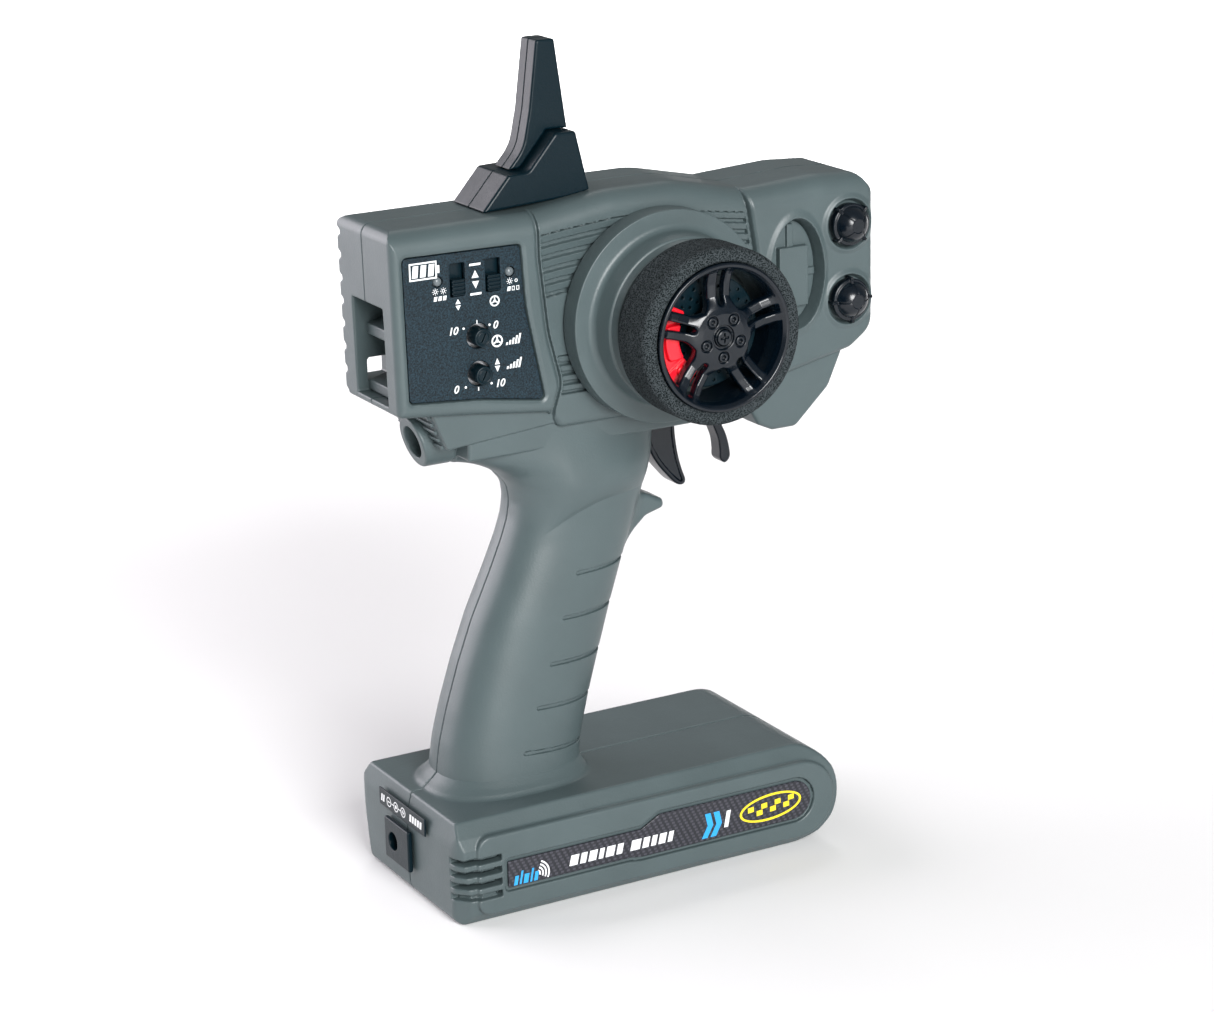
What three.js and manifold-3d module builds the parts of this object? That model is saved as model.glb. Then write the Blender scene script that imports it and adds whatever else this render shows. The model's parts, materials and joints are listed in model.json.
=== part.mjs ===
// Pistol-grip radio transmitter for model cars: battery base, grip, head with a foam-tyred steering
// wheel, throttle trigger, control panel, rear power switch and blade antenna.
// Millimetres, +Z up, +X forward, -Y towards the steering wheel.
// The origin is on the underside of the base.
import * as THREE from 'three';
import { mergeVertices } from 'three/addons/utils/BufferGeometryUtils.js';
import Module from 'manifold-3d';

const wasm = await Module();
wasm.setup();

// ---------------------------------------------------------------- driving dimensions
const GAP = 0.3;                      // clearance between neighbouring pieces
const WALL = 2.2;                     // housing wall thickness
const ANTENNA_TOP = 280;

const HEAD_HALF = 20.7;               // half width of the head
const HEAD_BEVEL = 7;                 // bevel along the head's top edges
const EDGE_BEVEL = 2.2;               // bevel of the head's other edges
const HEAD_REAR = -79.5;
const HEAD_FRONT = 98.6;
const HEAD_TOP = 228;
const HEAD_CREST = 232;               // highest line, above the wheel
const FRONT_SEAM = 50;                // seam before the front section
const MID_RECESS = 1.2;               // how far the middle section is set back

const WHEEL_X = 15.3;
const WHEEL_Z = 190.6;
const COVER_RADIUS = 35;
const COVER_FRONT = -28;
const DRUM_RADIUS = 28.3;
const DRUM_FRONT = -40;
const TYRE_RADIUS = 28.6;
const TYRE_INNER = -42.6;
const TYRE_OUTER = -61.2;
const RIM_RADIUS = 23.4;
const RIM_FRONT = -62.2;
const SPOKES = 5;
const CALIPER = { inner: 12, outer: 19.8, start: 139, step: 9, steps: 12 };

const PANEL_Y = -19.9;                // face of the control panel
const PANEL_THICKNESS = 1.6;
const SLIDER_SLOT = { width: 5.2, low: 205.5, high: 216.1 };
const THROTTLE_SLOT_X = -56.35;
const STEERING_SLOT_X = -43.95;
const DUAL_RATE_X = -49.9;
const DUAL_RATE_Z = [192, 179.8];
const LAMP_Z = 211;
const LAMP_X = [-63.2, -38];
const TRIM_X = 88.4;
const TRIM_Z = [210.8, 185.2];

const PIVOT_X = 31;                   // trigger pivot
const PIVOT_Z = 167;
const TRIGGER_HALF = 4.5;
const TRIGGER_SLOT = { rear: 13, front: 58, half: 5.5, low: 128.5, high: 161 };

const BASE_REAR = -73;
const BASE_FRONT = 73;
const BASE_TOP = 35.9;
const BASE_HALF = 37.2;
const SIDE_PAD = 38.2;                // raised border on the base's sides
const FLOOR_REAR = -35.7;             // where the base's cover plate starts
const DOOR_REAR = 6;                  // where the battery door starts
const FLOOR_HALF = 31;
const FLOOR_THICKNESS = 2;
const CELL_RADIUS = 7.1;              // AA cell
const CELL_LENGTH = 50;
const CELL_PITCH = 14.5;
const FIRST_CELL_X = 13;
const CELL_Z = 10.2;

// rear switch recess, with a window through the left side between two heights
const RECESS = { left: 10, right: -12.5, low: 171.5, high: 203, depth: 14.5, rim: 5 };
const WINDOW = { low: 174.5, high: 182, outer: 30 };
const TUBE = { rear: -67.6, front: -52, z: 155, radius: 8.4, bore: 5, slant: 5.4 };
const VENTS = { count: 4, low: 10.5, pitch: 4.2, front: -57.4 };
const SOCKET = { y: 7.5, z: 16, half: 5.5, height: 10, bore: 3.2 };
const OVAL = { x: 68, z: 196.4, reach: 10, height: 17.6, floor: -14.6 };
const TRIM_DISH = { radius: 8.4, floor: -19, shaft: 3.4 };
const LABEL_DEPTH = 1.4;
const SCREW_SINK = 2.6;
const SCREWS = [[-18, 216], [62, 221], [66, 150.5], [-22, 112], [-52, 20]];
const BOSS_RADIUS = 3.4;

// ---------------------------------------------------------------- materials
const plastic = (color, roughness) => new THREE.MeshStandardMaterial({ color, roughness, metalness: 0 });
const metal = (color, roughness) => new THREE.MeshStandardMaterial({ color, roughness, metalness: 1 });
const bodyGray = () => plastic(0x66716f, 0.5);
const satinBlack = () => plastic(0x15191c, 0.45);
const glossBlack = () => plastic(0x0b0d10, 0.15);
const foam = () => plastic(0x1d2022, 0.95);
const redPlastic = () => plastic(0xc41420, 0.3);
const steel = () => metal(0xb9bcc0, 0.35);
const boardGreen = () => plastic(0x1f5b3a, 0.6);

// ---------------------------------------------------------------- solids
function toSolid(geometry) {
  const bare = geometry.index ? geometry.toNonIndexed() : geometry.clone();
  bare.deleteAttribute('normal');
  bare.deleteAttribute('uv');
  const merged = mergeVertices(bare, 1e-4);
  const mesh = new wasm.Mesh({
    numProp: 3,
    vertProperties: new Float32Array(merged.attributes.position.array),
    triVerts: new Uint32Array(merged.index.array),
  });
  return new wasm.Manifold(mesh);
}

function toGeometry(solid) {
  const result = solid.getMesh();
  const geometry = new THREE.BufferGeometry();
  geometry.setAttribute('position', new THREE.BufferAttribute(new Float32Array(result.vertProperties), 3));
  geometry.setIndex(new THREE.BufferAttribute(new Uint32Array(result.triVerts), 1));
  return geometry;
}

const union = (solids) => solids.reduce((sum, solid) => sum.add(solid));
const cut = (solid, tools) => tools.reduce((rest, tool) => rest.subtract(tool), solid);

// Outlines are lists of corners [x, y, radius]; a corner with a radius is rounded by an arc.
// insetCorners moves every edge inwards: outer arcs shrink and inner arcs grow with it.
const SMALLEST_ARC = 0.3;

function anticlockwise(corners) {
  const area = corners.reduce((sum, [x, y], i) => {
    const [nextX, nextY] = corners[(i + 1) % corners.length];
    return sum + x * nextY - nextX * y;
  }, 0);
  return area > 0 ? corners : [...corners].reverse();
}

function insetCorners(corners, inset) {
  const count = corners.length;
  return corners.map(([x, y, radius = 0], i) => {
    const before = corners[(i + count - 1) % count];
    const after = corners[(i + 1) % count];
    const arriving = new THREE.Vector2(x - before[0], y - before[1]).normalize();
    const leaving = new THREE.Vector2(after[0] - x, after[1] - y).normalize();
    const share = inset / (1 + arriving.dot(leaving));
    const outer = arriving.x * leaving.y - arriving.y * leaving.x > 0;
    const arc = outer ? radius - inset : radius + inset;
    return [
      x - (arriving.y + leaving.y) * share,
      y + (arriving.x + leaving.x) * share,
      radius === 0 ? 0 : Math.max(arc, SMALLEST_ARC),
    ];
  });
}

function outlinePoints(corners, inset, steps) {
  const points = [];
  const moved = insetCorners(anticlockwise(corners), inset);
  moved.forEach(([x, y, radius], i) => {
    const corner = new THREE.Vector2(x, y);
    const before = moved[(i + moved.length - 1) % moved.length];
    const after = moved[(i + 1) % moved.length];
    const toBefore = new THREE.Vector2(before[0] - x, before[1] - y).normalize();
    const toAfter = new THREE.Vector2(after[0] - x, after[1] - y).normalize();
    const half = Math.acos(THREE.MathUtils.clamp(toBefore.dot(toAfter), -1, 1)) / 2;
    if (radius === 0) {
      points.push(corner);
      return;
    }
    const centre = toBefore.clone().add(toAfter).normalize()
      .multiplyScalar(radius / Math.sin(half)).add(corner);
    const start = corner.clone().addScaledVector(toBefore, radius / Math.tan(half)).sub(centre);
    const end = corner.clone().addScaledVector(toAfter, radius / Math.tan(half)).sub(centre);
    const turn = Math.atan2(start.x * end.y - start.y * end.x, start.dot(end));
    for (let k = 0; k <= steps; k += 1) {
      points.push(start.clone().rotateAround(new THREE.Vector2(), turn * k / steps).add(centre));
    }
  });
  return points;
}

function ellipse(x, y, radiusX, radiusY, segments = 24) {
  const corners = [];
  for (let i = 0; i < segments; i += 1) {
    const angle = 2 * Math.PI * i / segments;
    corners.push([x + radiusX * Math.cos(angle), y + radiusY * Math.sin(angle)]);
  }
  return corners;
}

const rectangle = (x0, x1, y0, y1, radius = 0) =>
  [[x0, y0, radius], [x1, y0, radius], [x1, y1, radius], [x0, y1, radius]];

// A prism along local Z with rounded bevels at both ends, as a skin over inset copies of its outline.
function prism(corners, length, { bevel = 0, inset = 0, segments = 1, steps = 3 } = {}) {
  const levels = bevel > 0 ? [] : [[0, 0]];
  for (let k = 0; k <= segments && bevel > 0; k += 1) {
    const angle = Math.PI / 2 * k / segments;
    levels.push([bevel * (1 - Math.cos(angle)), bevel * (1 - Math.sin(angle))]);
  }
  const ring = (height, shrink) =>
    outlinePoints(corners, inset + shrink, steps).map((point) => [point.x, point.y, height]);
  const lower = levels.map(([depth, shrink]) => ring(depth, shrink));
  const upper = [...levels].reverse().map(([depth, shrink]) => ring(length - depth, shrink));
  const rings = [...lower, ...upper];
  const flat = rings[0].map(([x, y]) => new THREE.Vector2(x, y));
  return skin(rings, THREE.ShapeUtils.triangulateShape(flat, []));
}

// a closed surface over rings of equal point count, with both end rings filled by the cap triangles
function skin(rings, cap) {
  const count = rings[0].length;
  const last = (rings.length - 1) * count;
  const index = [];
  for (let r = 0; r + 1 < rings.length; r += 1) {
    for (let i = 0; i < count; i += 1) {
      const a = r * count + i;
      const b = r * count + (i + 1) % count;
      index.push(a, b, b + count, a, b + count, a + count);
    }
  }
  cap.forEach(([a, b, c]) => index.push(a, c, b, last + a, last + b, last + c));
  const geometry = new THREE.BufferGeometry();
  geometry.setAttribute('position', new THREE.Float32BufferAttribute(rings.flat(2), 3));
  geometry.setIndex(index);
  return geometry;
}

function loft(rings) {
  const fan = rings[0].slice(2).map((point, i) => [0, i + 1, i + 2]);
  return toSolid(skin(rings, fan));
}

const SIDE_AXES = new THREE.Matrix4().makeBasis(
  new THREE.Vector3(1, 0, 0), new THREE.Vector3(0, 0, 1), new THREE.Vector3(0, -1, 0));
const FRONT_AXES = new THREE.Matrix4().makeBasis(
  new THREE.Vector3(0, 1, 0), new THREE.Vector3(0, 0, 1), new THREE.Vector3(1, 0, 0));

// prisms: an X-Z outline between two Y planes, an X-Y outline between two heights, a Y-Z outline along X
function sidePrism(corners, low, high, options) {
  return toSolid(prism(corners, high - low, options).applyMatrix4(SIDE_AXES).translate(0, high, 0));
}

function planPrism(corners, low, high, options) {
  return toSolid(prism(corners, high - low, options).translate(0, 0, low));
}

function frontPrism(corners, low, high, options) {
  return toSolid(prism(corners, high - low, options).applyMatrix4(FRONT_AXES).translate(low, 0, 0));
}

const block = (x0, x1, y0, y1, z0, z1) =>
  toSolid(new THREE.BoxGeometry(x1 - x0, y1 - y0, z1 - z0)
    .translate((x0 + x1) / 2, (y0 + y1) / 2, (z0 + z1) / 2));

const discY = (x, z, radius, low, high, segments = 20) => sidePrism(ellipse(x, z, radius, radius,
  segments), low, high);
const discX = (y, z, radius, low, high, segments = 20) => frontPrism(ellipse(y, z, radius, radius,
  segments), low, high);

// a body turned about an axis along Y through (x, z), from a [radius, y] profile listed either way round;
// an open profile starts and ends on the axis
function turned(profile, x, z, segments = 40, closed = true) {
  const points = profile.map(([radius, y]) => new THREE.Vector2(radius, y));
  if (THREE.ShapeUtils.area(points) < 0) points.reverse();
  if (closed) points.push(points[0].clone());
  return toSolid(new THREE.LatheGeometry(points, segments).translate(x, 0, z));
}

// a horizontal rounded-oval ring between rearX and frontX
function ovalRing(z, rearX, frontX, halfWidth, inset, count = 20) {
  const power = 2 / 2.5;
  const middle = (rearX + frontX) / 2;
  const reach = (frontX - rearX) / 2 - inset;
  const ring = [];
  for (let i = 0; i < count; i += 1) {
    const angle = 2 * Math.PI * i / count;
    const c = Math.cos(angle);
    const s = Math.sin(angle);
    ring.push([
      middle + reach * Math.sign(c) * Math.abs(c) ** power,
      (halfWidth - inset) * Math.sign(s) * Math.abs(s) ** power,
      z,
    ]);
  }
  return ring;
}

// ---------------------------------------------------------------- housing outlines
const HEAD_SIDE = [
  [HEAD_REAR, HEAD_TOP, 3.5], [-27, HEAD_TOP + 0.2, 30], [0, HEAD_CREST, 40], [24, HEAD_CREST, 40],
  [FRONT_SEAM, 226.4, 12], [78, HEAD_TOP, 30], [93.5, 227, 4], [HEAD_FRONT, 221.5, 3],
  [HEAD_FRONT, 173.5, 6],
  [90, 168, 6], [62, 162, 10], [44, 157, 6], [-21, 157, 3], [-25, 163, 3], [-52, 166.4, 30],
  [HEAD_REAR + 1, 169, 2],
];
const JAW_SIDE = [
  [48, 172], [88.5, 172], [88.5, 166.5, 3], [83, 154.5, 4], [71.5, 142, 3], [62.5, 142, 2],
  [56.5, 144.8, 2],
  [53.2, 150, 3], [50, 158],
];
const UNDER_SIDE = [[-67.5, 172], [-60.5, 155.4, 1], [30, 155.4], [30, 172]];
const GRIP_LEVELS = [
  [34, -62, -10.6, 19.6], [43.7, -61, -10.4, 19], [50.8, -59.9, -9, 18.6], [61.7, -57, -6.2, 18.2],
  [77, -52, -1.5, 17.6], [91.7, -46.3, 3, 17.2], [106, -39.4, 7.8, 16.8], [117, -34.5, 11.8, 16.4],
  [124, -32, 14.3, 16.6], [130, -31, 16.4, 17.4], [135.5, -31.8, 17.9, 18], [139, -34.5, 18.8, 18],
  [142, -39.5, 19.6, 17.8], [144.3, -46, 20.2, 17.4], [146.5, -51.6, 20.8, 17], [152, -51.6, 21.6, 16.6],
  [161, -51.6, 22.6, 16.4],
];
const COLLAR_LEVELS = [[34, -66, -8.6, 22.6], [36.4, -66, -8.6, 22.6], [38, -64, -9.6, 21],
  [41, -61.2, -10.5, 19.1]];
const SPUR_SIDE = [
  [8, 126], [16.5, 125.6, 1], [18.9, 126, 2], [25, 122.4, 1], [25.6, 119.2, 1.5], [18, 117, 4],
  [10, 104, 2], [4, 104],
];
const BASE_SIDE = [
  [BASE_REAR + 0.6, 0, 4], [BASE_FRONT, 0, 17.5], [BASE_FRONT, BASE_TOP, 17.5], [BASE_REAR, BASE_TOP, 1.5],
];
const BASE_SECTION = [
  [-33.5, 0], [-36, 3.5], [-BASE_HALF, 9], [-BASE_HALF, 27], [-35.6, 30.8], [-31.8, BASE_TOP],
  [31.8, BASE_TOP], [35.6, 30.8], [BASE_HALF, 27], [BASE_HALF, 9], [36, 3.5], [33.5, 0],
];
const BASE_PLAN = [
  [BASE_REAR, -SIDE_PAD - 1, 9], [BASE_FRONT, -SIDE_PAD - 1, 7], [BASE_FRONT, SIDE_PAD + 1, 7],
  [BASE_REAR, SIDE_PAD + 1, 9],
];
const PANEL_SIDE = [
  [-75.1, 219.6, 1.2], [-34.3, 219.1, 1.2], [-33.1, 199, 60], [-27.1, 168, 1.2], [-50, 171.6, 60],
  [-74.4, 173.6, 1.2],
];
const MIDDLE_SIDE = [
  [-28.2, 240], [-28.2, 214, 20], [-25.6, 189, 40], [-21.4, 172], [-21.4, 150], [62, 150],
  [FRONT_SEAM + 2.4, 208, 6],
  [FRONT_SEAM, 224], [FRONT_SEAM - 3, 240],
];
const LABEL_SIDE = [
  [-55, 11.6, 0.6], [-10, 11.6, 2], [-5, 10.9, 2], [61.5, 10.9, 6.4], [61.5, 24.6, 6.4], [2, 24.6, 2],
  [-5, 20.8, 2],
  [-55, 20.8, 0.6],
];

function gripSolid(inset) {
  return loft(GRIP_LEVELS.map(([z, rear, front, half]) => ovalRing(z, rear, front, half, inset)));
}

// the side outline with small bevels, trimmed by a second prism whose top edges have the large bevel
function headSolid(grow) {
  const half = HEAD_HALF + grow;
  const body = sidePrism(HEAD_SIDE, -half, half, { bevel: EDGE_BEVEL, inset: -grow });
  const topCurve = HEAD_SIDE.slice(1, 6);
  const crown = [[HEAD_REAR - 20, HEAD_TOP], ...topCurve, [HEAD_FRONT + 20, HEAD_TOP - 2],
    [HEAD_FRONT + 20, 120],
    [HEAD_REAR - 20, 120]];
  return body.intersect(sidePrism(crown, -half, half, { bevel: HEAD_BEVEL, inset: -grow, segments: 2 }));
}

function baseSolid(grow) {
  const side = sidePrism(BASE_SIDE, -SIDE_PAD - 1, SIDE_PAD + 1, { bevel: 3, inset: -grow, segments: 2,
    steps: 5 });
  const section = frontPrism(BASE_SECTION, BASE_REAR - 5, BASE_FRONT + 5, { inset: -grow });
  const plan = planPrism(BASE_PLAN, -5, BASE_TOP + 5, { inset: -grow });
  return side.intersect(section).intersect(plan);
}

// the charge socket's barrel between two X planes, grown on its other sides
const socketBlock = (rear, front, grow) => block(rear, front, SOCKET.y - SOCKET.half - grow,
  SOCKET.y + SOCKET.half + grow, SOCKET.z - SOCKET.height / 2 - grow, SOCKET.z + SOCKET.height / 2 + grow);

// ---------------------------------------------------------------- housing
function housingOuter() {
  const under = sidePrism(UNDER_SIDE, -16.4, 16.4, { bevel: 1.2 });
  const jaw = sidePrism(JAW_SIDE, -17, 17, { bevel: 2 });
  const spur = sidePrism(SPUR_SIDE, -7, 7, { bevel: 1.6, steps: 3 });
  const collar = loft(COLLAR_LEVELS.map(([z, rear, front, half]) => ovalRing(z, rear, front, half, 0)));
  const padOutline = [[-66, 3.6, 5], [BASE_FRONT - 2, 3.6, 13.5], [BASE_FRONT - 2, 31, 13.5], [-66, 31, 5]];
  const pads = [[-SIDE_PAD, -20], [20, SIDE_PAD]].map(([low, high]) =>
    sidePrism(padOutline, low, high, { bevel: 1.2, steps: 5 }));
  return union([headSolid(0), under, jaw, gripSolid(0), spur, collar, baseSolid(0), ...pads]);
}

function housingCavity() {
  const jaw = sidePrism(JAW_SIDE, -17 + WALL, 17 - WALL, { inset: WALL });
  const inner = union([headSolid(-WALL), gripSolid(WALL), jaw, baseSolid(-WALL)]);
  const linerFront = HEAD_REAR + RECESS.depth + WALL;
  const switchLiner = block(HEAD_REAR - 1, linerFront, RECESS.right - WALL, RECESS.left + WALL,
    RECESS.low - 2 * WALL, RECESS.high + WALL);
  const windowLiner = block(HEAD_REAR - 1, linerFront, RECESS.left, WINDOW.outer, WINDOW.low - WALL,
    WINDOW.high + WALL);
  const ovalLiner = sidePrism(ellipse(OVAL.x, OVAL.z, OVAL.reach + WALL, OVAL.height + WALL),
    -HEAD_HALF - 1,
    OVAL.floor + WALL);
  const trimLiners = TRIM_Z.map((z) => discY(TRIM_X, z, TRIM_DISH.radius + WALL, -HEAD_HALF - 1,
    TRIM_DISH.floor + WALL));
  const padLiner = sidePrism([[-60, 8], [66, 8, 6], [66, 27, 6], [-60, 27]], -SIDE_PAD - 1, -34);
  const bosses = SCREWS.map(([x, z]) => discY(x, z, BOSS_RADIUS, -40, 40, 16));
  return cut(inner, [switchLiner, windowLiner, ovalLiner, padLiner, ...trimLiners, ...bosses]);
}

function housingCuts() {
  const tools = [];
  const panel = sidePrism(PANEL_SIDE, -HEAD_HALF - 5, PANEL_Y + PANEL_THICKNESS + GAP, { inset: -GAP });
  const window = sidePrism(PANEL_SIDE, -HEAD_HALF - 5, -10, { inset: 2.4 });
  tools.push(panel, window);
  // the middle section is set back on both sides
  tools.push(sidePrism(MIDDLE_SIDE, -HEAD_HALF - 5, -HEAD_HALF + MID_RECESS));
  tools.push(sidePrism(MIDDLE_SIDE, HEAD_HALF - MID_RECESS, HEAD_HALF + 5));
  // shaft opening under the wheel cover
  tools.push(discY(WHEEL_X, WHEEL_Z, 12, -HEAD_HALF - 5, -10));
  // rear switch recess and its window behind the rear corner post
  const recessFront = HEAD_REAR + RECESS.depth;
  tools.push(block(HEAD_REAR - 5, recessFront, RECESS.right, RECESS.left, RECESS.low, RECESS.high));
  tools.push(block(HEAD_REAR + RECESS.rim, recessFront, RECESS.right, WINDOW.outer, WINDOW.low,
    WINDOW.high));
  // oval recess and the trim knob dishes
  tools.push(sidePrism(ellipse(OVAL.x, OVAL.z, OVAL.reach, OVAL.height), -HEAD_HALF - 5, OVAL.floor));
  for (const z of TRIM_Z) {
    tools.push(discY(TRIM_X, z, TRIM_DISH.radius, -HEAD_HALF - 5, TRIM_DISH.floor));
    tools.push(discY(TRIM_X, z, TRIM_DISH.shaft, -HEAD_HALF - 5, -10, 16));
  }
  // trigger slot through the head's underside and into the front of the grip
  tools.push(block(TRIGGER_SLOT.rear, TRIGGER_SLOT.front, -TRIGGER_SLOT.half, TRIGGER_SLOT.half,
    TRIGGER_SLOT.low,
    TRIGGER_SLOT.high));
  // charge socket
  tools.push(socketBlock(BASE_REAR - 5, BASE_REAR + 12, GAP));
  // label recess in the right side pad
  const labelRecess = [[-56, 9.6, 1], [64, 9.6, 8], [64, 26.2, 8], [-56, 26.2, 1]];
  tools.push(sidePrism(labelRecess, -SIDE_PAD - 5, -SIDE_PAD + LABEL_DEPTH));
  // cooling grooves behind the label
  for (let i = 0; i < VENTS.count; i += 1) {
    const z = VENTS.low + VENTS.pitch * i;
    tools.push(block(-80, VENTS.front, -SIDE_PAD - 5, -SIDE_PAD + 3, z - 0.9, z + 0.9));
  }
  // opening for the cover plate and the battery door
  tools.push(block(FLOOR_REAR - GAP, 90, -FLOOR_HALF - GAP, FLOOR_HALF + GAP, -5, FLOOR_THICKNESS + GAP));
  tools.push(block(FLOOR_REAR + 5, 63, -FLOOR_HALF + 2, FLOOR_HALF - 2, -5, 10));
  // wrist strap tube end
  tools.push(discX(0, TUBE.z, TUBE.radius + GAP, -90, TUBE.front + GAP));
  // screw counterbores on the left side
  SCREWS.forEach(([x, z], i) => {
    tools.push(discY(x, z, 2.9, screwSeat(i), 60, 16));
  });
  return tools;
}

// height of the outer left surface at each screw, less the depth of its seat
function screwSeat(i) {
  const surface = [HEAD_HALF - MID_RECESS, 18.4, 17, 15.9, SIDE_PAD];
  return surface[i] - SCREW_SINK;
}

function housingHalves() {
  const shell = cut(housingOuter().subtract(housingCavity()), housingCuts());
  return {
    right: shell.intersect(block(-200, 200, -100, -GAP / 2, -50, 400)),
    left: shell.intersect(block(-200, 200, GAP / 2, 100, -50, 400)),
  };
}

// ---------------------------------------------------------------- control panel
function panelPlate() {
  const plate = sidePrism(PANEL_SIDE, PANEL_Y, PANEL_Y + PANEL_THICKNESS);
  const slots = [THROTTLE_SLOT_X, STEERING_SLOT_X].map((x) =>
    sidePrism(rectangle(x - SLIDER_SLOT.width / 2, x + SLIDER_SLOT.width / 2, SLIDER_SLOT.low,
      SLIDER_SLOT.high, 0.5),
      -30, -10));
  const knobHoles = DUAL_RATE_Z.map((z) => discY(DUAL_RATE_X, z, 4, -30, -10));
  const lampHoles = LAMP_X.map((x) => discY(x, LAMP_Z, 1.8, -30, -10, 16));
  return cut(plate, [...slots, ...knobHoles, ...lampHoles]);
}

// slider: a ribbed thumb piece on a stem
function reverseSlider(x) {
  const low = SLIDER_SLOT.low + 0.4;
  const half = SLIDER_SLOT.width / 2 - 0.4;
  const body = block(x - half, x + half, -21, -17.6, low, low + 5.2);
  const grooves = [1, 2, 3].map((i) => block(x - 5, x + 5, -22, -20.5, low + 1.3 * i - 0.3,
    low + 1.3 * i + 0.3));
  return cut(body, grooves);
}

const reverseSwitch = (x) => block(x - 3.7, x + 3.7, -17.2, -11.5, 202.5, 219);

function dualRateKnob(z) {
  const knob = discY(DUAL_RATE_X, z, 3, -23.7, -17.4, 20);
  return knob.subtract(block(DUAL_RATE_X - 5, DUAL_RATE_X + 5, -25, -22.7, z - 0.5, z + 0.5));
}

const dualRatePot = (z) => block(DUAL_RATE_X - 4.8, DUAL_RATE_X + 4.8, -17.1, -12, z - 4.8, z + 4.8);

function lamp(x) {
  return turned([[0, -20.3], [0.9, -20.1], [1.5, -19.4], [1.5, -14], [0, -14]], x, LAMP_Z, 12, false);
}

// ---------------------------------------------------------------- trim knobs
function trimKnob(z) {
  const dome = turned([[0, -27.6], [2.2, -27.4], [4.6, -26.2], [6.3, -23.8], [6.9, -21.2], [6.9, -19.3],
    [2.6, -19.3],
    [2.6, -16.6], [0, -16.6]], TRIM_X, z, 20, false);
  const pointer = block(TRIM_X + 6.2, TRIM_X + 7.9, -21.4, -19.6, z - 0.6, z + 0.6);
  return dome.add(pointer);
}

const trimPot = (z) => block(TRIM_X - 4.8, TRIM_X + 4.8, -16.2, -11, z - 4.8, z + 4.8);

// ---------------------------------------------------------------- steering wheel
function steeringCover() {
  return turned([[6.6, DRUM_FRONT], [27.2, DRUM_FRONT], [DRUM_RADIUS, DRUM_FRONT + 1], [28.8, -34],
    [30, -30.6],
    [34, COVER_FRONT], [COVER_RADIUS, COVER_FRONT + 1], [COVER_RADIUS, -21],
    [32.8, -21], [32.8, -26], [28.4, -27.8], [26.4, -37.8], [6.6, -37.8]], WHEEL_X, WHEEL_Z, 36);
}

function wheelRim() {
  const barrel = turned([[RIM_RADIUS, RIM_FRONT + 2], [RIM_RADIUS + 0.6, RIM_FRONT + 0.6],
    [RIM_RADIUS - 0.2, RIM_FRONT],
    [22, RIM_FRONT + 0.6], [21, -59.5], [20.6, -56], [20.6, -44], [RIM_RADIUS, -44]], WHEEL_X, WHEEL_Z, 32);
  const hub = turned([[3.4, -61.2], [5.6, -61], [8.8, -58.6], [9.2, -54.2], [7, -53.6], [7, -47],
    [3.4, -47]],
    WHEEL_X, WHEEL_Z, 24);
  const spokes = [];
  for (let i = 0; i < SPOKES; i += 1) {
    const angle = Math.PI / 2 + 2 * Math.PI * i / SPOKES;
    for (const side of [-1, 1]) {
      const bar = [[6.6, side * 3.9], [21.8, side * 4.4], [21.8, side * 2], [6.6, side * 1.1]];
      const geometry = prism(bar, 3.6).rotateZ(angle).applyMatrix4(SIDE_AXES);
      spokes.push(toSolid(geometry.translate(WHEEL_X, -55.4, WHEEL_Z)));
    }
  }
  return union([barrel, hub, ...spokes]);
}

function foamTyre() {
  const inner = RIM_RADIUS + GAP + 0.6;
  return turned([[inner, TYRE_OUTER + 0.4], [25.4, TYRE_OUTER], [27.6, TYRE_OUTER + 0.8],
    [TYRE_RADIUS, -58.6],
    [TYRE_RADIUS, -45.4], [27.4, TYRE_INNER + 0.5], [25.4, TYRE_INNER], [inner, TYRE_INNER + 0.4]],
  WHEEL_X, WHEEL_Z, 36);
}

const brakeDisc = () => turned([[7.5, -50.4], [18.2, -50.4], [18.2, -49.2], [7.5, -49.2]],
  WHEEL_X, WHEEL_Z, 36);

function brakeCaliper() {
  const arc = [];
  for (let i = 0; i <= CALIPER.steps; i += 1) {
    arc.push([CALIPER.inner, CALIPER.start + CALIPER.step * i]);
  }
  for (let i = CALIPER.steps; i >= 0; i -= 1) {
    arc.push([CALIPER.outer, CALIPER.start + CALIPER.step * i]);
  }
  const outline = arc.map(([radius, degrees]) => [
    WHEEL_X + radius * Math.cos(THREE.MathUtils.degToRad(degrees)),
    WHEEL_Z + radius * Math.sin(THREE.MathUtils.degToRad(degrees)),
  ]);
  return sidePrism(outline, -54.4, -50.8, { bevel: 0.6, segments: 1 });
}

function hubScrew() {
  const screw = turned([[0, -61.4], [1.8, -61.3], [2.5, -60.4], [2.5, -57.6], [1.4, -57.5], [1.4, -47.8],
    [0, -47.8]],
    WHEEL_X, WHEEL_Z, 18, false);
  const cross = [block(WHEEL_X - 1.4, WHEEL_X + 1.4, -62, -60.7, WHEEL_Z - 0.3, WHEEL_Z + 0.3),
    block(WHEEL_X - 0.3, WHEEL_X + 0.3, -62, -60.7, WHEEL_Z - 1.4, WHEEL_Z + 1.4)];
  return cut(screw, cross);
}

const wheelShaft = () => turned([[0, -47.4], [2.8, -47.4], [2.8, -6], [0, -6]],
  WHEEL_X, WHEEL_Z, 20, false);
const shaftBush = () => turned([[3.1, -41.6], [6.2, -41.6], [6.2, -36], [3.1, -36]], WHEEL_X, WHEEL_Z, 24);
const centringSpring = () => turned([[3.8, -34], [7.4, -34], [7.4, -27], [3.8, -27]], WHEEL_X, WHEEL_Z, 24);
const steeringPot = () => turned([[3.1, -19], [9.6, -19], [9.6, -9], [3.1, -9]], WHEEL_X, WHEEL_Z, 28);

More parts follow.
